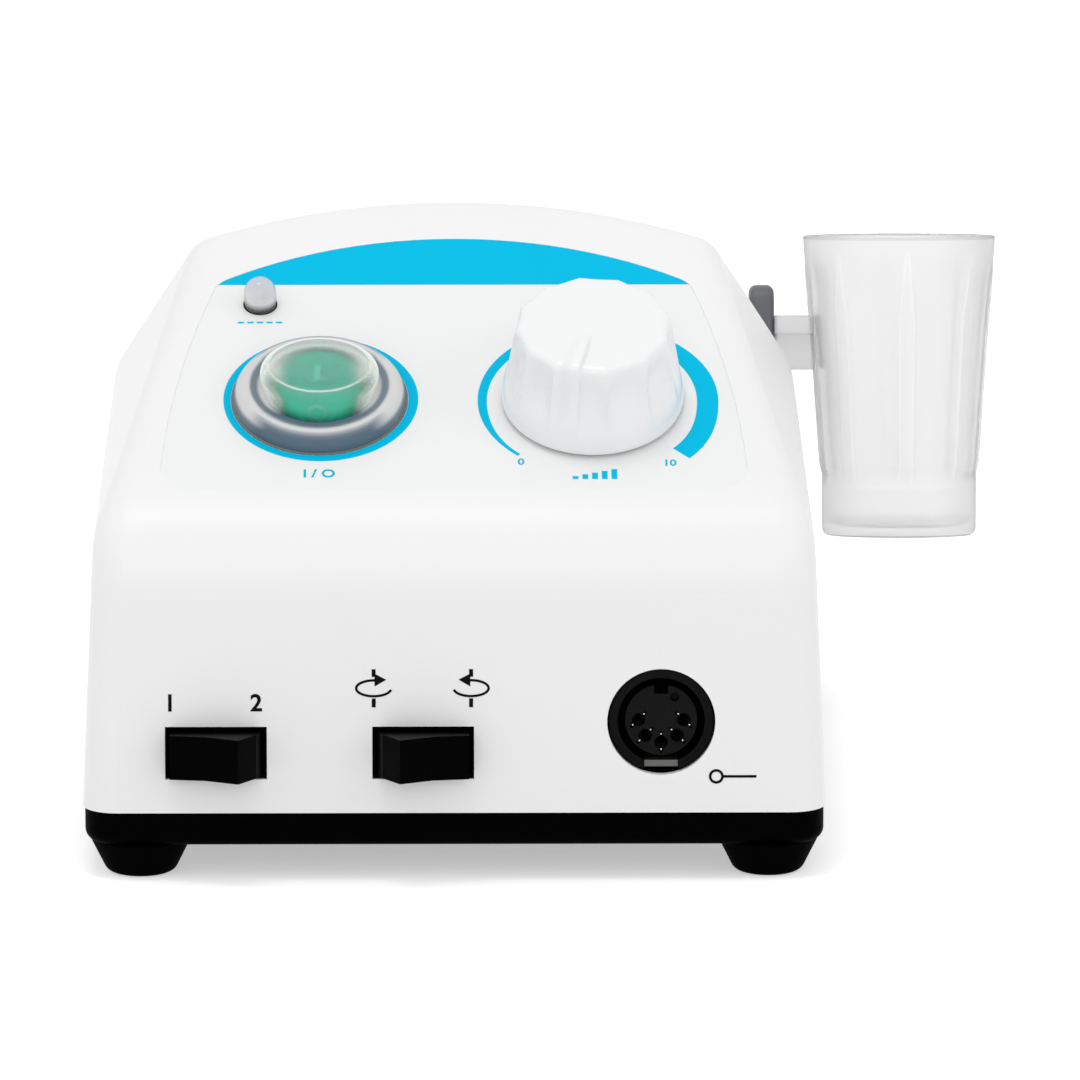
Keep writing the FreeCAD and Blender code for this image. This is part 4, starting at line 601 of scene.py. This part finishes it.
def printed_ring():
    """Ring round the power boot, from the hole's edge outwards."""
    made = bmesh.new()
    inner = [(POWER[0] + (x - RING_MIDDLE[0]), along) for x, along in ring_points(RING_MIDDLE, POWER_HOLE)]
    ribbon(made, inner, ring_points(RING_MIDDLE, RING_OUTER), SHEET_PRINT, closed=True)
    add_print("printed_power_ring", made, ON_PANEL)


def scale_edge(keys):
    """Edge of the growing scale round the knob, from its thin end clockwise."""
    start, sweep, steps = -131.4, 272.6, 80
    points = []
    for step in range(steps + 1):
        share = step / steps
        radius = along_keys(keys, share, soft=True)
        turn = math.radians(start - sweep * share)
        points.append((SCALE_MIDDLE[0] + radius * math.cos(turn), SCALE_MIDDLE[1] + radius * math.sin(turn)))
    return points


def printed_scale():
    """Crescent that grows with the speed; its edges are pairs of a share of the sweep and a radius."""
    made = bmesh.new()
    inner = scale_edge([(0.0, 17.4), (0.178, 16.66), (0.839, 16.07), (1.0, 16.9)])
    outer = scale_edge([(0.0, 18.0), (0.178, 18.1), (0.839, 19.4), (1.0, 20.4)])
    ribbon(made, inner, outer, SHEET_PRINT)
    add_print("printed_speed_scale", made, ON_PANEL)


def printed_bars(name, middle, base, half, heights):
    """Row of upright bars on one line."""
    made = bmesh.new()
    for step, tall in enumerate(heights):
        x = middle + (step - 2) * SIGN_PITCH
        low = [(x - half, base), (x + half, base)]
        high = [(x - half, base + tall), (x + half, base + tall)]
        ribbon(made, low, high, SHEET_PRINT)
    add_print(name, made, ON_PANEL)


def turning_arrow(name, x, level, way):
    """Arrow that circles an upright line, for the direction of turning."""
    made = bmesh.new()
    half_width, half_height = 2.7, 1.25
    line = 0.38
    rise = 3.0
    first_turn, sweep, steps = -170.0, 265.0, 32
    points = []
    for step in range(steps + 1):
        turn = math.radians(first_turn + sweep * step / steps)
        points.append((x + way * half_width * math.cos(turn), level + half_height * math.sin(turn)))
    stroke(made, points, line, FRONT_PRINT)
    tip_x, tip = points[-1]
    head = [(tip_x - way * 1.7, tip + 0.1), (tip_x + way * 0.1, tip + 1.05), (tip_x + way * 0.1, tip - 0.95)]
    made.faces.new([made.verts.new((corner_x, corner, FRONT_PRINT)) for corner_x, corner in head])
    below = half_height + 0.35
    above = half_height + 0.55
    stroke(made, [(x, level - rise), (x, level - below)], line * 1.6, FRONT_PRINT)
    stroke(made, [(x, level + above), (x, level + rise)], line * 1.6, FRONT_PRINT)
    add_print(name, made, ON_FRONT)


def plug_sign():
    """Ring with a line to it, beside the handpiece socket."""
    made = bmesh.new()
    middle = (40.4, 5.7)
    inner, outer, line_end, width = 0.75, 1.15, 46.6, 0.4
    ribbon(made, ring_points(middle, inner, 40), ring_points(middle, outer, 40), FRONT_PRINT, closed=True)
    stroke(made, [(middle[0] + outer, middle[1]), (line_end, middle[1])], width, FRONT_PRINT)
    add_print("socket_sign", made, ON_FRONT)


printed_band()
printed_ring()
printed_scale()
printed_bars("printed_speed_sign", SCALE_MIDDLE[0], 12.95, 0.45, [0.7 + 0.42 * step for step in range(5)])
printed_bars("printed_lamp_sign", LAMP[0], 51.4, 0.5, [0.4] * 5)
figures("power_figures", "I / O", ON_PANEL, (-20.84, 14.3), 1.9)
figures("scale_start_figure", "0", ON_PANEL, (10.4, 17.1), 1.5)
figures("scale_end_figure", "10", ON_PANEL, (33.4, 16.8), 1.5)
figures("left_place_figure", "1", ON_FRONT, (-43.8, 17.3), 2.7)
figures("right_place_figure", "2", ON_FRONT, (-30.5, 17.3), 2.7)
turning_arrow("left_turn_arrow", -12.4, 19.7, -1.0)
turning_arrow("right_turn_arrow", 2.6, 19.7, 1.0)
plug_sign()


# Soft parts and the lamp
def lathe(made, profile, middle, turns=96):
    """Surface of revolution about the out axis, from pairs of radius and height, and the milkiness there if
    any, which on the boot also holds painted light.
    """
    layer = made.verts.layers.float.get("haze_and_painted_light") or made.verts.layers.float.new("haze_and_painted_light")
    rings = []
    for radius, out, *haze_and_painted_light in profile:
        places = ring_points(middle, radius, turns) if radius > 1e-6 else [tuple(middle)]
        ring = [made.verts.new((x, along, out)) for x, along in places]
        for vert in ring:
            vert[layer] = haze_and_painted_light[0] if haze_and_painted_light else 0.0
        rings.append(ring if len(ring) > 1 else ring * turns)
    for first, second in zip(rings, rings[1:]):
        for index in range(turns):
            following = (index + 1) % turns
            corners = list(dict.fromkeys([first[index], first[following], second[following], second[index]]))
            if len(corners) > 2:
                made.faces.new(corners)


def on_cap_side(height):
    return 1.2 < height < 4.3


def side_painted_light(radius, height, aside):
    """Least milkiness of the boot at its left and right, which there is painted light; the crest of its ring
    is the milkiest, as a painted highlight.
    """
    if radius > CAP_RADIUS:
        return (0.85 if 10.9 < radius < 13.1 else 0.22) * aside
    return 0.80 * aside if on_cap_side(height) else 0.0


def near_share(radius, height, nearness):
    """Share of its milkiness that the cap keeps: all of it in the near part of the fold line, where it is a
    painted highlight, little beside it.
    """
    if radius > CAP_RADIUS or on_cap_side(height):
        return 1.0
    # Painted highlight along the near part of the fold line.
    if 7.5 < radius < 7.9 and height > 5.9:
        return 0.55 + 0.45 * eased(nearness, 0.35, 0.95)
    return 1.0 - 0.88 * eased(nearness, 0.1, 0.75) if radius > 5.2 else 1.0


def paint_boot_light(made):
    """Paint light on the boot's left and right as extra milkiness, and make the cap's near edge clearer except
    for its fold, which keeps its painted highlight.
    """
    layer = made.verts.layers.float["haze_and_painted_light"]
    for vert in made.verts:
        x = vert.co.x - POWER[0]
        along = vert.co.y - POWER[1]
        radius = math.hypot(x, along)
        aside = eased(abs(x) / max(radius, 1.0), 0.55, 0.92)
        kept = vert[layer] * near_share(radius, vert.co.z, -along / max(radius, 1.0))
        vert[layer] = max(kept, side_painted_light(radius, vert.co.z, aside))


def paint_boot(made):
    """Material of each face of the boot: 0 its skin, 1 the thick ring, 2 the lip, dark as painted shade under
    the skirt, 3 the cap's top.
    """
    for one in made.faces:
        centre = one.calc_center_median()
        radius = math.hypot(centre.x - POWER[0], centre.y - POWER[1])
        if centre.z < 0.115 or (centre.z < 1.1 and radius < 12.2):
            one.material_index = 2
        elif radius > 9.2 and centre.z < 3.0:
            one.material_index = 1
        else:
            one.material_index = 3 if radius < 7.7 and centre.z > 5.85 else 0


def soft_boot():
    """One-piece silicone boot: a domed ring that stays, a thin fold, and a cap that rocks with the key."""
    # The third number of each point is its milkiness; the high values on the crest of the skirt and on the
    # fold of the cap are painted highlights.
    skirt = [(13.38, 0.12, 0.02), (13.4, 0.6, 0.02), (13.25, 1.3, 0.04), (12.9, 1.95, 0.08),
             (12.45, 2.5, 0.18), (12.0, 2.78, 0.50), (11.55, 2.92, 0.95), (11.1, 2.93, 0.62),
             (10.6, 2.86, 0.22), (9.9, 2.72, 0.10), (9.35, 2.66, 0.06)]
    cap = [(9.08, 2.66, 0.00), (9.0, 2.78, 0.00), (9.04, 3.0, 0.00), (9.15, 3.3, 0.01), (9.24, 3.7, 0.03),
           (9.27, 4.2, 0.05), (9.25, 4.65, 0.08), (9.15, 5.05, 0.14), (8.98, 5.38, 0.24), (8.75, 5.64, 0.34),
           (8.45, 5.82, 0.42), (8.1, 5.93, 0.50), (7.78, 5.99, 0.85), (7.6, 5.98, 0.90), (7.4, 5.94, 0.60),
           (6.9, 5.92, 0.50), (6.2, 5.92, 0.32), (5.4, 5.93, 0.16), (4.0, 5.95, 0.08), (0.0, 5.97, 0.06)]
    inside = [(0.0, 5.35, 0.02), (5.0, 5.33, 0.04), (6.2, 5.3, 0.30), (7.4, 5.15, 0.60), (8.1, 4.7, 0.50),
              (8.45, 4.0, 0.02), (8.45, 3.2, 0.00), (8.3, 2.4, 0.00), (8.25, 1.2, 0.00), (9.2, 1.16, 0.0),
              (12.15, 1.15, 0.0)]
    lip = [(12.15, 1.15), (12.15, -0.4), (13.74, -0.4), (13.74, 0.0), (13.6, 0.08), (13.38, 0.12)]
    made = bmesh.new()
    lathe(made, skirt + cap, POWER, 144)
    lathe(made, inside, POWER, 144)
    lathe(made, lip, POWER, 144)
    bmesh.ops.remove_doubles(made, verts=made.verts, dist=0.0001)
    paint_boot(made)
    paint_boot_light(made)
    for vert in made.verts:
        turned = tipped(CAP_TILT) @ vert.co
        vert.co = vert.co.lerp(turned, eased(vert.co.z, CAP_START, CAP_FREE))
    piece = add_piece("power_boot", made, PANEL, silicone, None, smooth=True)
    for more in (thick_silicone, lip_painted_shade, top_silicone):
        piece.data.materials.append(more)
    out = tipped(CAP_TILT / 2).to_3x3() @ Vector((0.0, 0.0, 1.0))
    middle = Vector((*POWER, 0.0))
    still = PANEL @ (middle + out * CAP_START)
    free = PANEL @ (middle + out * CAP_FREE)
    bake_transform(piece, "housing", "power_key", still, free)
    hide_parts("power_boot_skirt", "power_boot_cap")


def round_key():
    """Green key under the boot, tipped about its pin."""
    made = bmesh.new()
    lathe(made, [(0.0, -3.5), (KEY_RADIUS, -3.5), (KEY_RADIUS, 2.0), (7.5, 2.8), (7.2, 3.5), (6.8, 4.1),
                 (6.2, 4.6), (5.5, 4.88), (4.8, 4.97), (0.0, 4.98)], KEY_MIDDLE)
    piece = add_piece("round_key", made, KEY_PLACE, green, "power_key", smooth=True)
    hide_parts("power_rocker")


def key_marks():
    """Upright line on the key's top for on, and a ring on its near side for off."""
    x, along = KEY_MIDDLE
    made = bmesh.new()
    stroke(made, [(x, along - 2.8), (x, along + 1.4)], 1.0, 4.9)
    thicken(made, 0.2)
    add_piece("key_on_mark", made, KEY_PLACE, mark_green, "power_key")
    made = bmesh.new()
    inner = ring_points((0.0, 0.0), 0.95, 48)
    outer = ring_points((0.0, 0.0), 1.6, 48)
    from_middle = 7.5
    ribbon(made, inner, outer, from_middle, closed=True)
    thicken(made, 0.25)
    upright = Matrix.Translation((x, along, 2.3)) @ Matrix.Rotation(math.radians(90.0), 4, "X")
    add_piece("key_off_mark", made, KEY_PLACE @ upright, mark_green, "power_key")


def lamp_inside():
    """Dark post and small reflector seen through the clear foot of the lens; their darkness is partly painted
    shade of the hole under the lamp.
    """
    made = bmesh.new()
    lathe(made, [(0.0, -1.2), (2.3, -1.2), (2.3, 0.9), (2.1, 1.25), (1.3, 0.9), (0.0, 0.8)], LAMP, 48)
    add_piece("lamp_post", made, PANEL, lamp_dark, smooth=True)


soft_boot()
round_key()
key_marks()
lamp_inside()


# Knob
def knob_radius(height):
    """Radius of the knob without its flutes, from its foot to the rounded edge of its top."""
    return along_keys([(0.5, 14.05), (0.8, 14.2), (2.2, 14.15), (4.6, 13.75), (8.0, 13.2), (11.0, 12.75),
                       (13.4, 12.4), (14.5, 12.15), (15.0, 11.85), (15.3, 11.4), (KNOB_TOP, 10.7)], height)


def knob_flute(height, turn):
    """Depth of the shallow flutes between narrow ridges; they fade towards the foot."""
    bearing = (math.degrees(turn) + 90.0) % 360.0
    before = max(edge for edge in KNOB_RIDGES if edge <= bearing)
    after = min(edge for edge in KNOB_RIDGES if edge > bearing)
    off_middle = abs(2.0 * (bearing - before) / (after - before) - 1.0)
    rim = share_of(height, 11.0, 3.6)
    deepest = 1.3 * (1.0 - 0.62 * rim)
    roundness = 3.6 - 1.8 * rim
    return deepest * eased(height, 3.2, 9.7) * (1.0 - off_middle ** roundness)


def pointer_lift(radius, turn, height):
    """How far the pointer stands out of the knob's skin; one side slopes slowly and the other is steep."""
    off = (math.degrees(turn) - POINTER_TURN + 180.0) % 360.0 - 180.0
    side = radius * math.radians(off)
    tallest = 0.95
    slope = eased(side, -2.6, -0.4) if side < 0.5 else eased(-side, -0.9, -0.5)
    return tallest * slope * share_of(height, 2.2, 7.0) * share_of(radius, 3.2, 3.0)


def knob_place(radius, turn, height):
    """Point of the knob's skin, pushed out by the pointer on its side and lifted by it on its top."""
    lift = pointer_lift(radius, turn, height)
    push = 0.0 if height > KNOB_TOP - 0.03 else lift * 0.95
    up = 0.9 * lift * share_of(height, 13.0, 2.4)
    out = radius + push
    return (KNOB[0] + out * math.cos(turn), KNOB[1] + out * math.sin(turn), height + up)


def knob_skin():
    """Rings of radius, turn and height on the outside, from the wall's foot to near the middle of the top."""
    turns = [2.0 * math.pi * step / KNOB_TURNS for step in range(KNOB_TURNS)]
    heights = [0.5, 0.8, 1.4, 2.2, 3.2, 4.2, 5.2, 6.2, 7.2, 8.2, 9.2, 10.2, 11.2, 12.2, 13.0, 13.6, 14.1, 14.5,
               14.8, 15.0, 15.18, 15.35, KNOB_TOP]
    rings = []
    for height in heights:
        rings.append([(knob_radius(height) - knob_flute(height, turn), turn, height) for turn in turns])
    rim = rings[-1]
    for share in (0.85, 0.68, 0.5, 0.33, 0.16):
        rings.append([(radius * share, turn, KNOB_TOP + 0.08 * (1.0 - share)) for radius, turn, height in rim])
    return rings


def close_rings(made, rings):
    """Faces between rings of points that follow each other."""
    for first, second in zip(rings, rings[1:]):
        for step in range(len(first)):
            following = (step + 1) % len(first)
            made.faces.new((first[step], first[following], second[following], second[step]))


def fluted_knob():
    """Knob with soft flutes and a pointer that stands up from its edge and runs in over the top."""
    made = bmesh.new()
    rings = []
    for radius, height in KNOB_HUB:
        rings.append([made.verts.new((*point, height)) for point in ring_points(KNOB, radius, KNOB_TURNS)])
    for ring in knob_skin():
        rings.append([made.verts.new(knob_place(*point)) for point in ring])
    close_rings(made, rings)
    crown = made.verts.new((*KNOB, KNOB_TOP + 0.09))
    hub_floor = made.verts.new((*KNOB, KNOB_HUB[0][1]))
    for step in range(KNOB_TURNS):
        following = (step + 1) % KNOB_TURNS
        made.faces.new((rings[-1][step], rings[-1][following], crown))
        made.faces.new((rings[0][following], rings[0][step], hub_floor))
    piece = add_piece("fluted_knob", made, PANEL, knob_white, "knob", smooth=True)
    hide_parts("speed_knob")


fluted_knob()


# Cup
def cup_radius(height):
    """Outer radius over the height of the ridges: plain foot band, taper, plain rim band."""
    return along_keys([(0.0, 11.9), (0.3, 12.4), (1.0, 12.7), (10.2, 12.75), (11.8, 13.2),
                       (CUP_HEIGHT - 18.0, 14.55), (CUP_HEIGHT - 9.0, 15.35), (CUP_HEIGHT, 15.85)], height)


def flute_place(height, turn):
    """Angle from the middle of the nearest flute, and half the flute's own angle at this height."""
    middle = FLUTE_PITCH / 2
    off = abs((math.degrees(turn) - FLUTE_OFFSET) % FLUTE_PITCH - middle)
    ridge = 0.8 + 4.4 * min((FLUTE_END - height) / 11.0, 1.0)
    return off, middle - ridge


def scoop_depth(height, turn):
    """How far a broad flute is scooped in, with narrow ridges left between the flutes."""
    if not FLUTE_START < height < FLUTE_END:
        return 0.0
    ease = min(eased(height, FLUTE_START, FLUTE_START + 3.0), eased(FLUTE_END - height, 0.0, 7.0))
    off, half = flute_place(height, turn)
    share = off / half
    return ease * math.sqrt(1.0 - share * share) if share < 1.0 else 0.0


def ridge_painted_highlight(height, turn):
    """Painted highlight along the edges of the ridges, and along the step where the flutes end."""
    if not FLUTE_START < height < FLUTE_END:
        return 0.4 if abs(height - FLUTE_START) < 0.5 else 0.0
    off, half = flute_place(height, turn)
    edge = max(1.0 - abs(off - half - 0.4), 0.0)
    return edge * min((height - FLUTE_START) / 1.5, (FLUTE_END - height) / 1.5, 1.0)


def cup_ring(made, height, inner):
    """Ring of points round the cup, on its fluted outside or its plain inside."""
    layer = made.verts.layers.float["haze_and_painted_light"]
    ring = []
    for step in range(CUP_TURNS):
        turn = 2.0 * math.pi * step / CUP_TURNS
        if inner:
            radius = cup_radius(height) - CUP_WALL
        else:
            radius = cup_radius(height) - scoop_depth(height, turn)
            if height == CUP_HEIGHT:
                radius -= 0.3
        vert = made.verts.new((CUP_X + radius * math.cos(turn), radius * math.sin(turn), CUP_FOOT + height))
        vert[layer] = 0.0 if inner else ridge_painted_highlight(height, turn)
        ring.append(vert)
    return ring


def inner_floor(made, wall_foot):
    """Rings of the bowl-shaped floor, from the foot of the inner wall to a flat middle."""
    rings = []
    for share, height in ((0.985, 3.8), (0.95, 2.9), (0.88, 2.2), (0.78, 1.8), (0.6, CUP_WALL)):
        places = [(CUP_X + (vert.co.x - CUP_X) * share, vert.co.y * share) for vert in wall_foot]
        rings.append([made.verts.new((*place, CUP_FOOT + height)) for place in places])
    return rings


def paint_cup(made):
    """Material of each face of the cup: 0 its outside, 1 the rim and the foot's edge, 2 its inside."""
    for one in made.faces:
        centre = one.calc_center_median()
        height = centre.z - CUP_FOOT
        radius = math.hypot(centre.x - CUP_X, centre.y)
        if height > CUP_HEIGHT - 0.35 or (height < 0.4 and radius > 11.0):
            one.material_index = 1
        else:
            one.material_index = 2 if height > 1.0 and radius < cup_radius(height) - 1.2 else 0


def fluted_cup():
    """Frosted cup with eight scooped flutes."""
    made = bmesh.new()
    made.verts.layers.float.new("haze_and_painted_light")
    outside = [0.0, 0.3, 1.0, 4.0, 7.8]
    outside += [FLUTE_START + 0.6 * step for step in range(66)]
    outside += [CUP_HEIGHT - 0.8, CUP_HEIGHT - 0.5, CUP_HEIGHT - 0.15, CUP_HEIGHT]
    inside = [CUP_HEIGHT, 43.3, 30.0, 12.0, 10.2, 5.0]
    rings = [cup_ring(made, height, False) for height in outside]
    rings += [cup_ring(made, height, True) for height in inside]
    rings += inner_floor(made, rings[-1])
    close_rings(made, rings)
    made.faces.new(rings[0])
    made.faces.new(rings[-1])
    paint_cup(made)
    piece = add_piece("fluted_cup", made, HOLDER, cup_plastic, "cup", smooth=True)
    piece.data.materials.append(cup_edge)
    piece.data.materials.append(cup_inside)
    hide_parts("handpiece_cup")


def block(made, low, high, edge=0.25):
    """Box between two corners, with softened edges."""
    part = bmesh.new()
    bmesh.ops.create_cube(part, size=1.0)
    span = Vector(high) - Vector(low)
    centre = (Vector(high) + Vector(low)) / 2
    part.transform(Matrix.Translation(centre) @ Matrix.Diagonal((*span, 1.0)))
    bmesh.ops.bevel(part, geom=list(part.edges), offset=edge, segments=3, affect="EDGES", profile=0.5)
    join(made, part)


def cup_arm():
    """Arm with its flange on top and the tongue that drops into the clip."""
    made = bmesh.new()
    start = CLIP_SIDE + 0.1
    end = CUP_X - 14.0
    block(made, (start, -2.5, ARM_LOW), (end, 2.5, ARM_TOP - ARM_FLANGE + 0.1))
    block(made, (start, -4.0, ARM_TOP - ARM_FLANGE), (end - 0.2, 4.0, ARM_TOP))
    block(made, (start - 2.0, -1.1, ARM_LOW), (start + 0.5, 1.1, ARM_TOP))
    add_piece("cup_arm", made, HOLDER, arm_plastic, "cup")


fluted_cup()
cup_arm()


# Recesses cut into the pieces by hidden cutters
def cutter(name, made, place):
    """Hidden shape that a modifier takes out of a piece."""
    made.transform(place)
    bmesh.ops.recalc_face_normals(made, faces=made.faces)
    hidden = bpy.data.objects.new(name, as_mesh(name, made))
    hidden.hide_render = True
    bpy.context.scene.collection.objects.link(hidden)
    return hidden


def take_out(piece, hidden):
    """Cut the hidden shape out of the piece."""
    made = piece.modifiers.new("recess", "BOOLEAN")
    made.operation = "DIFFERENCE"
    made.solver = "EXACT"
    made.object = hidden


def socket_ring():
    """Sloped ring round the mouth of the socket."""
    made = bmesh.new()
    lathe(made, [(6.72, -1.3), (6.72, -1.12), (7.5, -0.8), (7.62, -0.72), (7.8, -0.7), (8.1, -0.8),
                 (8.12, -1.3), (6.72, -1.3)], SOCKET, 96)
    bmesh.ops.remove_doubles(made, verts=made.verts, dist=0.0001)
    piece = add_piece("socket_ring", made, FRONT, ring_black, smooth=True)
    made = bmesh.new()
    half = 2.75
    block(made, (SOCKET[0] - half, SOCKET[1] - 9.0, -2.0), (SOCKET[0] + half, SOCKET[1] - 5.5, 1.0), 0.05)
    take_out(piece, cutter("tab_gap", made, FRONT))


def contact_leaves():
    """Two bright spring leaves in the slot of each contact."""
    made = bmesh.new()
    reach, half, deep, top = 1.22, 0.13, SOCKET_FACE - 1.2, SOCKET_FACE - 0.25
    for step, way in enumerate((45.0, 45.0, 90.0, 135.0, 135.0)):
        turn = math.radians(180.0 + 45.0 * step)
        outward = Vector((math.cos(turn), math.sin(turn)))
        along = Vector((math.cos(math.radians(way)), math.sin(math.radians(way))))
        for side in (-1.0, 1.0):
            x, level = Vector(SOCKET) + outward * CONTACT_CIRCLE + along * side * reach
            block(made, (x - half, level - half, deep), (x + half, level + half, top), 0.06)
    add_piece("contact_leaves", made, FRONT, plated)


def loose_parts(name, place):
    """Middle, top and radius of each separate solid of a node, in the millimetres of a face."""
    source = bmesh.new()
    source.from_mesh(nodes[name].data)
    source.transform(place.inverted())
    left = set(source.verts)
    found = []
    for start in source.verts:
        if start not in left:
            continue
        group = {start}
        edge = {start}
        left.remove(start)
        while edge:
            edge = {link.other_vert(vert) for vert in edge for link in vert.link_edges} & left
            left -= edge
            group |= edge
        top = max(vert.co.z for vert in group)
        head = [vert.co for vert in group if vert.co.z > top - 0.8]
        x = (max(co.x for co in head) + min(co.x for co in head)) / 2
        along = (max(co.y for co in head) + min(co.y for co in head)) / 2
        radius = max(math.hypot(co.x - x, co.y - along) for co in head)
        found.append((x, along, top, radius))
    source.free()
    return found


def cross_recesses(name, place):
    """Cross recess in the head of every screw of a node."""
    made = bmesh.new()
    for x, along, top, radius in loose_parts(name, place):
        long = radius * 0.58
        thin = radius * 0.13
        deep = radius * 0.35
        quarter = [(long, -thin), (long, thin), (thin, thin)]
        outline = []
        for turn in range(4):
            spin = Matrix.Rotation(math.radians(90.0 * turn), 2)
            outline += [spin @ Vector(point) for point in quarter]
        low = [made.verts.new((x + point.x, along + point.y, top - deep)) for point in outline]
        high = [made.verts.new((x + point.x, along + point.y, top + 1.0)) for point in outline]
        made.faces.new(low)
        made.faces.new(high)
        close_rings(made, [low, high])
    take_out(nodes[name], cutter(name + "_recess", made, place))


def side_grooves(name, place, count):
    """Grip grooves round a turned cap."""
    made = bmesh.new()
    x, along, top, radius = max(loose_parts(name, place), key=lambda part: part[2])
    low, high, wide = top - 3.6, top + 1.0, 0.4
    for spot in ring_points((x, along), radius + 0.15, count):
        groove = bmesh.new()
        lathe(groove, [(0.0, low), (wide, low), (wide, high), (0.0, high)], spot, 12)
        join(made, groove)
    take_out(nodes[name], cutter(name + "_grooves", made, place))


def socket_dimple():
    """Small moulding dimple in the face of the socket's insert."""
    made = bmesh.new()
    lathe(made, [(0.0, SOCKET_FACE - 1.4), (0.6, SOCKET_FACE - 1.3), (0.74, SOCKET_FACE + 0.02),
                 (0.74, SOCKET_FACE + 1.0), (0.0, SOCKET_FACE + 1.0)], (SOCKET[0] + 2.1, SOCKET[1] + 3.6), 32)
    take_out(nodes["motor_socket_insert"], cutter("socket_dimple", made, FRONT))


socket_ring()
contact_leaves()
cross_recesses("mains_inlet_screws", BACK)
cross_recesses("bracket_screws", BACK)
cross_recesses("foot_screws", UNDER)
cross_recesses("housing_screws", UNDER)
side_grooves("fuse_cap", BACK, 28)
socket_dimple()


# Edges of the moulded and stamped pieces
def soften(name, width):
    """Round the sharp edges of a node by a width in millimetres."""
    made = nodes[name].modifiers.new("softened_edges", "BEVEL")
    made.width = width * MM
    made.segments = 2
    made.limit_method = "ANGLE"
    made.angle_limit = math.radians(40.0)
    made.harden_normals = True


for name in ("hand_foot_switch_body", "hand_foot_rocker", "direction_switch_body", "direction_rocker"):
    soften(name, 0.25)
for name in ("mains_inlet", "fuse_holder", "holder_bracket"):
    soften(name, 0.3)


# Floor, light and camera
def floor():
    """Broad white floor, a little brighter to the eye than it shines."""
    made = bmesh.new()
    bmesh.ops.create_grid(made, x_segments=1, y_segments=1, size=8.0)
    mesh = as_mesh("floor", made)
    material, tree, shader = new_material("white_floor")
    shader.inputs["Base Color"].default_value = (0.86, 0.86, 0.86, 1.0)
    shader.inputs["Roughness"].default_value = 0.9
    shader.inputs["Specular IOR Level"].default_value = 0.0
    shader.inputs["Emission Color"].default_value = (1.0, 1.0, 1.0, 1.0)
    tree.links.new(seen_rays(tree, 0.45), shader.inputs["Emission Strength"])
    mesh.materials.append(material)
    piece = bpy.data.objects.new("floor", mesh)
    bpy.context.scene.collection.objects.link(piece)


def seen_rays(tree, strength):
    """The strength for rays that come from the camera, a mirror or glass, and none for the rest."""
    path = tree.nodes.new("ShaderNodeLightPath")
    found = path.outputs["Is Camera Ray"]
    for kind in ("Is Glossy Ray", "Is Transmission Ray"):
        found = calculated(tree, "MAXIMUM", found, path.outputs[kind])
    return calculated(tree, "MULTIPLY", found, strength)


def studio_world():
    """Even pale light that looks a little brighter than it shines."""
    world = bpy.data.worlds.new("studio")
    world.use_nodes = True
    tree = world.node_tree
    ground = tree.nodes["Background"]
    ground.inputs["Color"].default_value = (1.0, 1.0, 1.0, 1.0)
    shining, lift = 0.79, 0.21
    tree.links.new(calculated(tree, "ADD", seen_rays(tree, lift), shining), ground.inputs["Strength"])
    bpy.context.scene.world = world


def softbox(name, place, width, height, power):
    """Rectangular light that looks at the object's middle."""
    light = bpy.data.lights.new(name, "AREA")
    light.shape = "RECTANGLE"
    light.size = width
    light.size_y = height
    light.energy = power
    lamp = bpy.data.objects.new(name, light)
    lamp.location = place
    target = Vector((0.0, 0.0, 0.05))
    lamp.rotation_euler = (target - Vector(place)).to_track_quat("-Z", "Y").to_euler()
    bpy.context.scene.collection.objects.link(lamp)


def camera():
    """Long lens at the photo's place: in front of the object and a little above it."""
    made = bpy.data.cameras.new("camera")
    made.lens = 389.4
    made.sensor_width = 36.0
    made.clip_end = 50.0
    eye = bpy.data.objects.new("camera", made)
    eye.location = (0.0004, -1.8125, 0.46065)
    eye.rotation_euler = (math.radians(76.9), 0.0, math.radians(-0.42))
    bpy.context.scene.collection.objects.link(eye)
    bpy.context.scene.camera = eye


floor()
studio_world()
softbox("top_softbox", (0.0, -0.1, 0.9), 0.9, 0.7, 0.35)
softbox("left_softbox", (-0.75, -0.65, 0.5), 0.5, 0.6, 0.09)
softbox("right_softbox", (0.8, -0.5, 0.45), 0.4, 0.6, 0.55)
softbox("front_softbox", (0.0, -1.4, 0.55), 0.8, 0.5, 1.75)
softbox("glint_top", (-0.12, -0.25, 1.0), 0.32, 0.17, 1.25)
softbox("glint_left", (-0.9, 0.0, 0.65), 0.08, 0.36, 0.25)
camera()
bpy.context.scene.view_settings.view_transform = "Standard"
